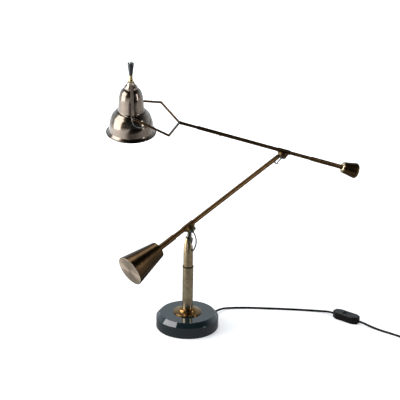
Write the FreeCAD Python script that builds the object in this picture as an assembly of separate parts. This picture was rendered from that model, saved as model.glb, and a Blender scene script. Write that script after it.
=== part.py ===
import FreeCAD, Part
import math
import os

# Counterweight balance desk lamp, in millimetres, +Z up.
# The origin is the centre of the round base on the table, and -Y faces the viewer.
# Two balanced arms hang on two drum hinges.  Each hinge sits on a knuckle that turns
# on an oblique cut, so every joint is held by friction and by balance alone.

Vector = FreeCAD.Vector
ORIGIN = Vector(0, 0, 0)
X = Vector(1, 0, 0)
Y = Vector(0, 1, 0)
Z = Vector(0, 0, 1)

# ---------------------------------------------------------------- clearances
RUNNING_GAP = 0.05      # radial play of a pin or tube that turns in its bore
SEAT_GAP = 0.1          # radial play of a piece that is pressed, brazed or screwed in
FACE_GAP = 0.15         # between flat faces that turn past each other
CUT_GAP = 0.3           # between the two faces of an oblique cut
OPEN_GAP = 0.3          # between pieces that move near each other
CLEAR_GAP = 0.5         # round a piece that only passes through

# ---------------------------------------------------------------- base
BASE_D = 155.0
BASE_TOP_Z = 39.5
BASE_BEVEL_IN = 9.5
BASE_BEVEL_H = 11.0
BASE_EDGE_R = 0.8
PAD_T = 2.0
PAD_D = 151.0
RECESS_DEPTH = 20.0
BALLAST_D = 128.0
BALLAST_T = 16.0
BALLAST_HOLE_D = 34.0
FLANGE_D = 70.0
FLANGE_RIM_T = 2.6
FLANGE_CONE_H = 4.8
FLANGE_CONE_R = 1.0
FLANGE_BEAD_D = 45.0
FLANGE_BEAD_R = 6.0
FLANGE_H = 12.0
TIE_D = 10.0
TIE_BORE_D = 6.5
TIE_NUT_D = 22.0
TIE_NUT_T = 6.0
TIE_TAIL = 3.0

# ---------------------------------------------------------------- stem and mast
STEM_D = 26.5
STEM_TOP_Z = 160.5
STEM_RING_D = 27.6
STEM_RING_H = 3.0
STEM_FLOOR_T = 10.0
MAST_D = 24.0
MAST_BORE_D = 20.0
MAST_BORE_TOP_Z = 214.0
MAST_TAPER_Z = 221.0
MAST_TAPER_R = 155.0
MAST_APEX_Z = 247.0
MAST_APEX_D = 8.6
MAST_CUT_Z = 229.4
MAST_SWIVEL = 19.5      # turn of the mast at rest, degrees from +X towards +Y
MAST_GROMMET_Z = 207.5
MAST_GROMMET_AZIMUTH = -40.0

# ---------------------------------------------------------------- knuckles
CUT_ANGLE = 50.0        # from the tube's axis to the normal of its oblique cut
MAST_PIVOT_D = 6.0
MAST_PIVOT_LENGTH = 14.0
LOWER_DOME_D = 20.8
LOWER_DOME_H = 9.5
LOWER_DOME_R = 3.4
LOWER_NECK_D = 15.6
LOWER_NECK_TIP_D = 10.0
ARM_PIVOT_D = 3.2
ARM_PIVOT_LENGTH = 10.0
UPPER_DOME_H = 6.5
UPPER_DOME_R = 4.0
UPPER_NECK_D = 8.4
UPPER_NECK_TIP_D = 7.2
NECK_JOIN_D = 14.0      # circle round the hinge axis on which the neck's end lies

# ---------------------------------------------------------------- drum hinges
HUB_D = 27.0
HUB_FLOOR = 9.4         # from the arm's axis down to the underside of the drum
HUB_TOP = -0.5
HUB_EDGE_R = 3.0
JOINT_EDGE_R = 0.4      # on the two faces that turn past each other
HUB_WASHER_D = 25.0
HUB_WASHER_T = 0.8
CUP_D = 23.0
CUP_T = 7.9
CUP_EDGE_R = 3.6
CUP_FLOOR_T = 3.3
AXLE_D = 9.0
AXLE_BORE_D = 4.6
HUB_NUT_D = 13.4
HUB_NUT_T = 3.0
CUP_LID_T = 1.2
CUP_LID_D = 14.6
LID_HOLE_D = 1.6
LID_HOLE_CIRCLE_D = 10.6
GROMMET_D = 6.0
GROMMET_T = 2.2
GROMMET_NECK_WALL = 0.8
SADDLE_WALL = 1.3
SADDLE_LENGTH = 34.0
SADDLE_EDGE_R = 0.6

# ---------------------------------------------------------------- lower arm
LOWER_HUB = Vector(-0.9, 6.0, 265.7)    # where the hinge axis crosses the arm's axis
LOWER_AZIMUTH = 41.0
LOWER_ELEVATION = 21.7
LOWER_LEAN = -40.4      # roll of the hinge axis about the arm
LOWER_ARM_D = 12.0
LOWER_ARM_BORE_D = 9.0
LOWER_CUT_X = 314.0     # centre of the oblique cut, along the arm from the hinge
ARM_CUT_TURN = -40.0    # of the cut about the arm's axis
ARM_HEAD_LENGTH = 26.0
ARM_HEAD_SPIGOT = 14.0
ARM_FLEX_X = 304.0
ARM_FLEX_TURN = -50.0
BIG_SHANK_X = 48.0      # from the hinge to the near end of the weight's shank
BIG_SHANK_D = 14.6
BIG_WEIGHT_X = 102.0    # from the hinge to the small end of the weight
BIG_WEIGHT_LENGTH = 92.5
BIG_WEIGHT_D = 78.0
BIG_WEIGHT_TIP_D = 40.5
BIG_WEIGHT_GRIP = 30.0
BIG_FACE_T = 4.0
BIG_FACE_RIM = 1.4
WEIGHT_EDGE_R = 2.0
FACE_EDGE_R = 1.0

# ---------------------------------------------------------------- upper arm
UPPER_HUB = Vector(237.9, 208.0, 395.7)
UPPER_AZIMUTH = 11.0
UPPER_ELEVATION = -17.8
UPPER_LEAN = 6.4
UPPER_ARM_D = 9.6
UPPER_ARM_BORE_D = 7.2
UPPER_TUBE_X = -235.9   # the tube's end at the fork, along the arm from the hinge
SMALL_SHANK_X = 76.3
SMALL_SHANK_D = 11.8
SMALL_WEIGHT_X = 161.9
SMALL_WEIGHT_LENGTH = 45.0
SMALL_WEIGHT_D = 43.0
SMALL_WEIGHT_TIP_D = 28.5
SMALL_WEIGHT_END_R = 7.0
SMALL_WEIGHT_GRIP = 16.0
SMALL_COLLAR_T = 4.0
SMALL_COLLAR_D = 27.0
SET_SCREW_X = -173.7
SET_SCREW_D = 3.4
SET_SCREW_PROUD = 1.8

# ---------------------------------------------------------------- fork
FORK_TWIST = 3.8        # of the fork about the upper arm
FORK_SHANK_D = 7.8
FORK_SPIGOT_LENGTH = 72.0
FORK_SHANK_BORE_D = 4.0
FORK_X = -284.5         # where the rods part, along the arm from the hinge
FORK_BOSS_LENGTH = 7.0
FORK_BOSS_D = 8.6
FORK_ROD_D = 6.0
FORK_BEND_X = 38.5      # from the parting to the bends
FORK_BEND_Y = 92.2
FORK_PIVOT_X = 127.5    # from the parting to the pivots
FORK_EYE_D = 9.0
FORK_EYE_T = 5.0
PIVOT_SCREW_D = 4.0
PIVOT_HEAD_D = 7.6
PIVOT_HEAD_T = 2.4
PIVOT_NUT_D = 7.0
PIVOT_NUT_T = 2.2

# ---------------------------------------------------------------- bail
BAIL_GAP = 0.7          # from the bowl's upper corner to the middle of each leg
BAIL_W = 7.4
BAIL_T = 1.8
BAIL_SHOULDER = 20.0
BAIL_KNEE_H = 22.0
BAIL_BEND_R = 7.0
BAIL_EYE_D = 9.6
BAIL_FOOT = 8.0

# ---------------------------------------------------------------- shade
SHADE_TILT = 19.2       # of the shade's axis back from square to the fork
SHADE_WALL = 1.2
RIM_D = 122.4
RIM_H = -61.6
BEAD_D = 3.2
LIP_D = 110.4
LIP_H = -56.0
LIP_R = 3.0
BOWL_D = 108.6
BOWL_H = -34.0
BOWL_R = 50.0
BOWL_TOP_D = 95.0
BOWL_TOP_H = -14.5
BOWL_TOP_R = 24.0
SHOULDER_D = 75.0
SHOULDER_H = -4.2
SHOULDER_R = 6.0
BELL_FOOT_D = 65.2
BELL_FOOT_H = -1.8
BELL_FOOT_R = 1.6
BELL_D = 59.6
BELL_H = 36.0
BELL_R = 60.0
CROWN_D = 49.0
CROWN_H = 52.5
CROWN_R = 18.0
SHADE_TOP_D = 32.0
SHADE_TOP_H = 57.5
SHADE_TOP_R = 1.6
CAP_D = 33.2
CAP_H = 17.5
CAP_TOP_D = 15.4
CAP_EDGE_H = 4.0
CAP_EDGE_R = 1.9
CAP_WAIST_D = 20.0
CAP_WAIST_H = 12.0
CAP_WAIST_R = 14.0
CAP_TOP_R = 2.0
CAP_WALL = 1.6
VENT_COUNT = 6
VENT_D = 3.6
VENT_ELEVATION = 30.0
STUD_D = 5.0
TRUMPET_D = 13.4
TRUMPET_H = 15.4
TRUMPET_R = 14.0
TRUMPET_EDGE_R = 0.6
TRUMPET_WAIST_D = 9.2
TRUMPET_WAIST_SHARE = 0.45  # of the trumpet's height, where its curve ends
GRIP_FOOT_D = 9.0
GRIP_FOOT_R = 0.5
GRIP_H = 32.6
GRIP_D = 17.0
GRIP_EDGE_R = 3.0
TIP_D = 8.4
TIP_H = 3.2
TIP_R = 3.0
HOLDER_D = 26.0
HOLDER_LENGTH = 50.0
HOLDER_EDGE_R = 2.0
STUD_SCREWED = 8.0      # of the stud, into the holder below and the grip above
BULB_CAP_D = 13.6
BULB_CAP_LENGTH = 24.0
BULB_NECK_D = 15.0
BULB_D = 44.0
BULB_LENGTH = 58.0
BULB_WALL = 0.9
BULB_THROAT_FOOT = 0.9      # the throat from globe to neck, in globe radii
BULB_THROAT_TOP = 1.1
BULB_THROAT_ROUND = 0.4

# ---------------------------------------------------------------- flex and mains lead
FLEX_D = 3.4
FLEX_ROOM = 1.2         # from the bowl to the loop of flex beside it
SHADE_FLEX_SHARE = 0.33 # along the fork's rod, from its pivot to its bend
CORD_D = 5.5
ARC_SHARE = 0.45        # of the shorter run, taken by the arc at a point of a cord
GLAND_AZIMUTH = 46.0
GLAND_Z = 8.0
GLAND_REACH = 22.0
GLAND_ROOT_D = 10.0
GLAND_TIP_D = 7.0
SWITCH_CENTRE = Vector(402.0, 51.5, 0)
SWITCH_AZIMUTH = -39.0
SWITCH_LENGTH = 72.0
SWITCH_W = 27.0
SWITCH_END_W = 14.0
SWITCH_SHOULDER = 12.0
SWITCH_H = 19.0
SWITCH_SPLIT_Z = 9.0
SWITCH_CORD_Z = 7.5
SWITCH_CORNER_R = 4.0
SWITCH_END_R = 1.5
SWITCH_EDGE_R = 1.6
ROCKER_D = 16.0
ROCKER_W = 10.0
ROCKER_AXIS_Z = 17.2
ROCKER_RISE = 2.6
ROCKER_DIP = 0.9
ROCKER_DEPTH = 3.6
ROCKER_ROOM = 0.6       # under the rocker when it is pressed
COIL_INNER_R = 24.0
COIL_GAP = 0.6
COIL_TURNS_IN = 3.0
COIL_TURNS_OUT = 3.25
COIL_START = Vector(548.0, -62.5, CORD_D / 2)
COIL_AZIMUTH = -38.0
PLUG_LENGTH = 36.0
PLUG_W = 26.0
PLUG_NOSE_W = 15.0
PLUG_H = 13.7
PLUG_SHOULDER = 12.0
PLUG_CORNER_R = 4.0
PLUG_NOSE_R = 1.5
PLUG_TURN = 42.0        # of the plug from the line of the coil's way out
PLUG_EDGE_R = 1.6
PIN_D = 4.0
PIN_LENGTH = 19.0
PIN_SPACING = 18.0
PIN_SEAT = 5.0

nodes = {}


# ---------------------------------------------------------------- helpers
def direction(azimuth, elevation=0.0):
    """Unit vector from an azimuth about Z and an elevation, in degrees."""
    level = FreeCAD.Rotation(Z, azimuth) * FreeCAD.Rotation(Y, -elevation)
    return level.multVec(X)


def unit(vector):
    """The vector scaled to a length of one."""
    return vector * (1.0 / vector.Length)


def turned_frame(origin, *turns):
    """Frame at an origin, turned by (axis, degrees) pairs about its own axes."""
    place = FreeCAD.Placement(origin, FreeCAD.Rotation())
    for axis, angle in turns:
        place = place * FreeCAD.Placement(ORIGIN, FreeCAD.Rotation(axis, angle))
    return place


def axis_frame(origin, z_axis, x_hint=None):
    """Frame whose Z runs along z_axis, with X as near the hint as it can be."""
    z = unit(z_axis)
    hint = x_hint or (X if abs(z.x) < 0.9 else Y)
    x = unit(hint - z * hint.dot(z))
    return FreeCAD.Placement(origin, FreeCAD.Rotation(x, z.cross(x), z, "ZXY"))


def moved(shape, place):
    """A copy of a shape, carried from local coordinates into a frame."""
    copy = shape.copy()
    copy.transformShape(place.toMatrix())
    return copy


def add(name, shape, place=None):
    """Keep a finished piece as the node of that name."""
    nodes[name] = moved(shape, place) if place else shape


def rounded_wire(corners):
    """Closed outline in the XZ plane through (x, z, corner radius) corners."""
    points = [Vector(x, 0, z) for x, z, _ in corners]
    stretches = []
    for i, point in enumerate(points):
        back = unit(points[i - 1] - point)
        ahead = unit(points[(i + 1) % len(points)] - point)
        radius = corners[i][2]
        if radius == 0:
            stretches.append((point, None, point))
            continue
        half = back.getAngle(ahead) / 2
        reach = radius / math.tan(half)
        middle = point + unit(back + ahead) * (radius / math.sin(half) - radius)
        stretches.append((point + back * reach, middle, point + ahead * reach))
    edges = []
    for i, (entry, middle, leave) in enumerate(stretches):
        if middle:
            edges.append(Part.Arc(entry, middle, leave).toShape())
        following = stretches[(i + 1) % len(stretches)][0]
        if following.distanceToPoint(leave) > 1e-6:
            edges.append(Part.LineSegment(leave, following).toShape())
    return Part.Wire(edges)


def turned(corners):
    """Solid of revolution about Z from an outline of (radius, height, corner radius)."""
    return Part.Face(rounded_wire(corners)).revolve(ORIGIN, Z, 360)


def walled(corners, wall):
    """Closed outline of a sheet: its outer corners, then the same ones set in to the left."""
    points = [Vector(x, 0, z) for x, z, _ in corners]
    normals = []
    for start, end in zip(points, points[1:]):
        run = unit(end - start)
        normals.append(Vector(-run.z, 0, run.x))
    inner = []
    for i, point in enumerate(points):
        first = normals[max(i - 1, 0)]
        last = normals[min(i, len(normals) - 1)]
        middle = unit(first + last)
        place = point + middle * (wall / middle.dot(first))
        bends_left = first.cross(last).y < 0
        radius = corners[i][2]
        if radius:
            radius = max(radius - wall, 0) if bends_left else radius + wall
        inner.append((place.x, place.z, radius))
    return list(corners) + inner[::-1]


def extruded(corners, thickness):
    """Plate from an outline in the XZ plane, centred on that plane."""
    face = Part.Face(rounded_wire(corners))
    face.translate(Vector(0, -thickness / 2, 0))
    return face.extrude(Vector(0, thickness, 0))


def rod(start, end, diameter):
    """Round bar between two points."""
    return Part.makeCylinder(diameter / 2, (end - start).Length, start, end - start)


def taper(start, end, start_d, end_d):
    """Tapered round bar between two points."""
    length = (end - start).Length
    return Part.makeCone(start_d / 2, end_d / 2, length, start, end - start)


def disc(diameter, bottom, top):
    """Round disc about Z between two heights."""
    return rod(Vector(0, 0, bottom), Vector(0, 0, top), diameter)


def ring(diameter, bore, bottom, top):
    """Washer about Z between two heights."""
    return disc(diameter, bottom, top).cut(disc(bore, bottom, top))


def along_x(start, end, diameter):
    """Round bar on the X axis."""
    return rod(Vector(start, 0, 0), Vector(end, 0, 0), diameter)


def tube_x(start, end, diameter, bore):
    """Tube on the X axis."""
    return along_x(start, end, diameter).cut(along_x(start, end, bore))


def beyond(point, normal):
    """Large block that fills the space past a plane."""
    size = BIG_WEIGHT_D
    return Part.makeCylinder(size, size, point, normal)


def swept(edges, diameter):
    """Round solid swept along joined edges."""
    path = Part.Wire(edges)
    start = edges[0].Vertexes[0].Point
    heading = edges[0].tangentAt(edges[0].FirstParameter)
    section = Part.Wire(Part.Circle(start, heading, diameter / 2).toShape())
    return path.makePipeShell([section], True, False)


def cord(name, points, diameter):
    """Cord through hand-set points: straight runs joined by the largest tangent arcs."""
    edges = []
    radii = []
    start = points[0]
    for before, corner, after in zip(points, points[1:], points[2:]):
        back = unit(before - corner)
        ahead = unit(after - corner)
        turn = math.pi - back.getAngle(ahead)
        reach = ARC_SHARE * min((before - corner).Length, (after - corner).Length)
        radius = reach / math.tan(turn / 2)
        middle = corner + unit(back + ahead) * (radius / math.cos(turn / 2) - radius)
        entry = corner + back * reach
        leave = corner + ahead * reach
        edges.append(Part.LineSegment(start, entry).toShape())
        edges.append(Part.Arc(entry, middle, leave).toShape())
        radii.append(radius)
        start = leave
    edges.append(Part.LineSegment(start, points[-1]).toShape())
    solid = swept(edges, diameter)
    length = sum(edge.Length for edge in edges)
    share = solid.Volume / (math.pi * diameter ** 2 / 4 * length)
    sizes = " ".join(f"{radius:.0f}" for radius in radii)
    print(f"{name}: length {length:.1f}, arc radii {sizes}, volume share {share:.4f}")
    return solid


def arc_towards(start, heading, end):
    """Circular arc from a point with a heading to another point."""
    chord = end - start
    side = heading - chord * (heading.dot(chord) / chord.dot(chord))
    if side.Length < 1e-9:
        return Part.LineSegment(start, end).toShape()
    half = heading.getAngle(chord) / 2
    middle = (start + end) * 0.5 + unit(side) * (chord.Length / 2 * math.tan(half))
    return Part.Arc(start, middle, end).toShape()


def biarc(start, heading, end, last_heading):
    """Two arcs that join two points and keep both headings."""
    span = end - start
    total = heading + last_heading
    spread = 2 * (1 - heading.dot(last_heading))
    along = span.dot(total)
    reach = (math.sqrt(along ** 2 + spread * span.dot(span)) - along) / spread
    joint = (start + end + (heading - last_heading) * reach) * 0.5
    first = arc_towards(start, heading, joint)
    second = arc_towards(end, last_heading * -1, joint)
    second.reverse()
    return [first, second]


# ---------------------------------------------------------------- frames of the assembly
MAST = turned_frame(ORIGIN, (Z, MAST_SWIVEL))
LOWER = turned_frame(LOWER_HUB, (Z, LOWER_AZIMUTH), (Y, -LOWER_ELEVATION), (X, LOWER_LEAN))
UPPER = turned_frame(UPPER_HUB, (Z, UPPER_AZIMUTH), (Y, -UPPER_ELEVATION), (X, UPPER_LEAN))
FORK = UPPER * turned_frame(ORIGIN, (X, FORK_TWIST))
SHADE = FORK * turned_frame(Vector(FORK_X - FORK_PIVOT_X, 0, 0), (Y, -SHADE_TILT))

cut = math.radians(CUT_ANGLE)
cut_turn = math.radians(ARM_CUT_TURN)
MAST_CUT = Vector(0, 0, MAST_CUT_Z)
MAST_CUT_NORMAL = Vector(math.sin(cut), 0, math.cos(cut))
ARM_CUT = Vector(LOWER_CUT_X, 0, 0)
ARM_CUT_NORMAL = Vector(math.cos(cut),
                        math.sin(cut) * math.cos(cut_turn),
                        math.sin(cut) * math.sin(cut_turn))

# heights of the hinge stack below the arm's axis, in the arm's frame
WASHER_BOTTOM = -(HUB_FLOOR + HUB_WASHER_T)
CUP_TOP = WASHER_BOTTOM - FACE_GAP
CUP_BOTTOM = CUP_TOP - CUP_T
CUP_SEAT = CUP_TOP - CUP_FLOOR_T
HUB_NUT_TOP = CUP_SEAT - FACE_GAP
HUB_NUT_BOTTOM = HUB_NUT_TOP - HUB_NUT_T


# ---------------------------------------------------------------- base and stem
def base():
    """Lacquered base with its ballast, felt, bronze flange, stem tube and tie rod."""
    radius = BASE_D / 2
    web_z = PAD_T + RECESS_DEPTH
    recess = BALLAST_D / 2 + CLEAR_GAP
    hole = TIE_D / 2 + SEAT_GAP
    body = turned([
        (recess, PAD_T, 0),
        (radius, PAD_T, BASE_EDGE_R),
        (radius, BASE_TOP_Z - BASE_BEVEL_H, BASE_EDGE_R),
        (radius - BASE_BEVEL_IN, BASE_TOP_Z, BASE_EDGE_R),
        (hole, BASE_TOP_Z, 0),
        (hole, web_z, 0),
        (recess, web_z, 0),
    ])
    outward = direction(GLAND_AZIMUTH)
    gland_foot = outward * (recess - CLEAR_GAP) + Z * GLAND_Z
    wall = outward * radius + Z * GLAND_Z
    gland_tip = outward * (radius + GLAND_REACH) + Z * GLAND_Z
    body = body.cut(rod(outward * (BALLAST_D / 2 - BALLAST_HOLE_D / 2) + Z * GLAND_Z,
                        wall + outward * GLAND_REACH, GLAND_ROOT_D + 2 * SEAT_GAP))
    add("base_disc", body)
    add("felt_pad", disc(PAD_D, 0, PAD_T))
    ballast = ring(BALLAST_D, BALLAST_HOLE_D, web_z - BALLAST_T, web_z)
    cable_slot = rod(Z * GLAND_Z, outward * radius + Z * GLAND_Z, GLAND_ROOT_D + 2 * CLEAR_GAP)
    add("ballast_plate", ballast.cut(cable_slot))

    # the gland comes out through the side wall and tapers towards the cord
    gland = rod(gland_foot, wall, GLAND_ROOT_D).fuse(taper(wall, gland_tip, GLAND_ROOT_D, GLAND_TIP_D))
    add("cord_gland", gland.removeSplitter())

    stem_r = STEM_D / 2
    bore = stem_r + SEAT_GAP
    flange = turned([
        (bore, 0, 0),
        (FLANGE_D / 2, 0, 0),
        (FLANGE_D / 2, FLANGE_RIM_T, BASE_EDGE_R),
        (FLANGE_BEAD_D / 2, FLANGE_CONE_H, FLANGE_CONE_R),
        (FLANGE_BEAD_D / 2, FLANGE_H, FLANGE_BEAD_R),
        (bore, FLANGE_H, 0),
    ])
    add("base_flange", flange, turned_frame(Z * BASE_TOP_Z))

    # stem tube with a screwed floor: the tie rod pulls it down on the base
    bore_d = MAST_D + 2 * RUNNING_GAP
    tube = disc(STEM_D, BASE_TOP_Z, STEM_TOP_Z)
    tube = tube.cut(disc(bore_d, BASE_TOP_Z + STEM_FLOOR_T, STEM_TOP_Z))
    tube = tube.cut(disc(TIE_D + 2 * SEAT_GAP, BASE_TOP_Z, BASE_TOP_Z + STEM_FLOOR_T))
    add("stem_tube", tube)
    collar = ring(STEM_RING_D, bore_d, STEM_TOP_Z, STEM_TOP_Z + STEM_RING_H)
    add("stem_ring", collar)
    nut_z = web_z - TIE_NUT_T
    add("tie_nut", ring(TIE_NUT_D, TIE_D + 2 * SEAT_GAP, nut_z, web_z))
    add("tie_rod", ring(TIE_D, TIE_BORE_D, nut_z - TIE_TAIL, BASE_TOP_Z + STEM_FLOOR_T))


def mast():
    """Upper stem tube with its bullet-shaped top, cut off on the slant."""
    foot_z = BASE_TOP_Z + STEM_FLOOR_T
    body = turned([
        (0, foot_z, 0),
        (MAST_D / 2, foot_z, 0),
        (MAST_D / 2, MAST_TAPER_Z, MAST_TAPER_R),
        (MAST_APEX_D / 2, MAST_APEX_Z, 0),
        (0, MAST_APEX_Z, 0),
    ])
    body = body.cut(disc(MAST_BORE_D, foot_z, MAST_BORE_TOP_Z))
    body = body.cut(beyond(MAST_CUT - MAST_CUT_NORMAL * (CUT_GAP / 2), MAST_CUT_NORMAL))
    half_pin = MAST_CUT_NORMAL * (MAST_PIVOT_LENGTH / 2)
    pin = rod(MAST_CUT - half_pin, MAST_CUT + half_pin, MAST_PIVOT_D)
    body = body.cut(rod(MAST_CUT - half_pin, MAST_CUT, MAST_PIVOT_D + 2 * RUNNING_GAP))
    outward = direction(MAST_GROMMET_AZIMUTH - MAST_SWIVEL)
    seat = outward * (MAST_D / 2) + Z * MAST_GROMMET_Z
    hole = rod(Z * MAST_GROMMET_Z, seat + outward * GROMMET_T, FLEX_D + 2 * GROMMET_NECK_WALL)
    add("mast", body.cut(hole), MAST)
    add("lower_pivot_pin", pin, MAST)
    add("mast_grommet", grommet(MAST_BORE_D / 2 - MAST_D / 2), MAST * axis_frame(seat, outward))


def grommet(inner_end):
    """Rubber grommet on Z: a bead outside its seat at z = 0 and a neck inside the wall."""
    bore = FLEX_D / 2 + SEAT_GAP
    neck = FLEX_D / 2 + GROMMET_NECK_WALL - SEAT_GAP
    return turned([
        (bore, inner_end, 0),
        (neck, inner_end, 0),
        (neck, 0, 0),
        (GROMMET_D / 2, 0, 0),
        (GROMMET_D / 2, GROMMET_T, GROMMET_T / 2),
        (bore, GROMMET_T, 0),
    ])


# ---------------------------------------------------------------- drum hinges
def hinge(prefix, frame, arm_d):
    """Drum hinge under an arm: what turns with the arm, and the lid of the cup below."""
    sleeve_d = arm_d + 2 * SADDLE_WALL
    half = SADDLE_LENGTH / 2
    drum = turned([
        (0, -HUB_FLOOR, 0),
        (HUB_D / 2, -HUB_FLOOR, JOINT_EDGE_R),
        (HUB_D / 2, HUB_TOP, HUB_EDGE_R),
        (0, HUB_TOP, 0),
    ])
    sleeve = turned([
        (0, -half, 0),
        (sleeve_d / 2, -half, SADDLE_EDGE_R),
        (sleeve_d / 2, half, SADDLE_EDGE_R),
        (0, half, 0),
    ])
    saddle = drum.fuse(moved(sleeve, turned_frame(ORIGIN, (Y, 90))))
    saddle = saddle.cut(along_x(-half, half, arm_d + 2 * SEAT_GAP))
    saddle = saddle.cut(disc(AXLE_D + 2 * SEAT_GAP, -HUB_FLOOR, -arm_d / 2))
    add(prefix + "_hub_saddle", saddle, frame)
    washer = ring(HUB_WASHER_D, AXLE_D + 2 * SEAT_GAP, WASHER_BOTTOM, -HUB_FLOOR)
    add(prefix + "_hub_washer", washer, frame)
    axle = ring(AXLE_D, AXLE_BORE_D, HUB_NUT_BOTTOM, -arm_d / 2 - OPEN_GAP)
    add(prefix + "_hub_axle", axle, frame)
    nut = ring(HUB_NUT_D, AXLE_D + 2 * SEAT_GAP, HUB_NUT_BOTTOM, HUB_NUT_TOP)
    add(prefix + "_hub_nut", nut, frame)

    # lid in the cup's mouth, with two spanner holes and a raised grommet for the flex
    lid = disc(CUP_LID_D, CUP_BOTTOM, CUP_BOTTOM + CUP_LID_T)
    lid = lid.fuse(disc(GROMMET_D, CUP_BOTTOM - GROMMET_T, CUP_BOTTOM))
    lid = lid.cut(disc(FLEX_D + 2 * SEAT_GAP, CUP_BOTTOM - GROMMET_T, CUP_BOTTOM + CUP_LID_T))
    for side in (-1, 1):
        centre = Vector(0, side * LID_HOLE_CIRCLE_D / 2, CUP_BOTTOM)
        lid = lid.cut(rod(centre, centre + Z * CUP_LID_T, LID_HOLE_D))
    add(prefix + "_cup_lid", lid, frame)


def neck_end(frame, cut_centre):
    """Where a knuckle's neck ends inside the cup, on the side towards the cut."""
    local = frame.inverse().multVec(cut_centre)
    sideways = unit(Vector(local.x, local.y, 0))
    return frame.multVec(sideways * (NECK_JOIN_D / 2) + Z * (CUP_TOP - CUP_T / 2))


def knuckle(body, cut_centre, normal, frame, pin_d, pin_length):
    """Knuckle: a dome above the oblique cut, joined by its neck to the hinge's cup."""
    cup = turned([
        (0, CUP_TOP, 0),
        (CUP_D / 2, CUP_TOP, JOINT_EDGE_R),
        (CUP_D / 2, CUP_BOTTOM, CUP_EDGE_R),
        (0, CUP_BOTTOM, 0),
    ])
    body = body.fuse(moved(cup, frame))
    mouth = disc(CUP_LID_D + 2 * SEAT_GAP, CUP_BOTTOM - CUP_D, CUP_SEAT)
    axle_bore = disc(AXLE_D + 2 * RUNNING_GAP, CUP_SEAT, CUP_TOP)
    drum_room = disc(HUB_D + 2 * CLEAR_GAP, CUP_TOP, -HUB_TOP + CUP_D)
    body = body.cut(moved(mouth, frame))
    body = body.cut(moved(axle_bore, frame))
    body = body.cut(moved(drum_room, frame))
    body = body.cut(beyond(cut_centre + normal * (CUT_GAP / 2), normal * -1))
    pin_end = cut_centre + normal * (pin_length / 2 + OPEN_GAP)
    return body.cut(rod(cut_centre, pin_end, pin_d + 2 * RUNNING_GAP))


def lower_knuckle():
    """Knuckle on the mast: its dome leans along the neck."""
    centre = MAST.multVec(MAST_CUT)
    normal = MAST.Rotation.multVec(MAST_CUT_NORMAL)
    end = neck_end(LOWER, centre)
    dome = turned([
        (0, -LOWER_DOME_D, 0),
        (LOWER_DOME_D / 2, -LOWER_DOME_D, 0),
        (LOWER_DOME_D / 2, LOWER_DOME_H, LOWER_DOME_R),
        (0, LOWER_DOME_H, 0),
    ])
    dome = moved(dome, axis_frame(centre, end - centre))
    body = dome.fuse(taper(centre, end, LOWER_NECK_D, LOWER_NECK_TIP_D))
    body = knuckle(body, centre, normal, LOWER, MAST_PIVOT_D, MAST_PIVOT_LENGTH)
    add("lower_knuckle", body)


def upper_knuckle():
    """Knuckle on the lower arm: its dome carries on the line of the arm."""
    centre = LOWER.multVec(ARM_CUT)
    normal = LOWER.Rotation.multVec(ARM_CUT_NORMAL)
    end = neck_end(UPPER, centre)
    dome = turned([
        (0, -2 * LOWER_ARM_D, 0),
        (LOWER_ARM_D / 2, -2 * LOWER_ARM_D, 0),
        (LOWER_ARM_D / 2, UPPER_DOME_H, UPPER_DOME_R),
        (0, UPPER_DOME_H, 0),
    ])
    dome = moved(dome, LOWER * turned_frame(ARM_CUT, (Y, 90)))
    body = dome.fuse(taper(centre, end, UPPER_NECK_D, UPPER_NECK_TIP_D))
    body = knuckle(body, centre, normal, UPPER, ARM_PIVOT_D, ARM_PIVOT_LENGTH)
    add("upper_knuckle", body)


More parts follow.
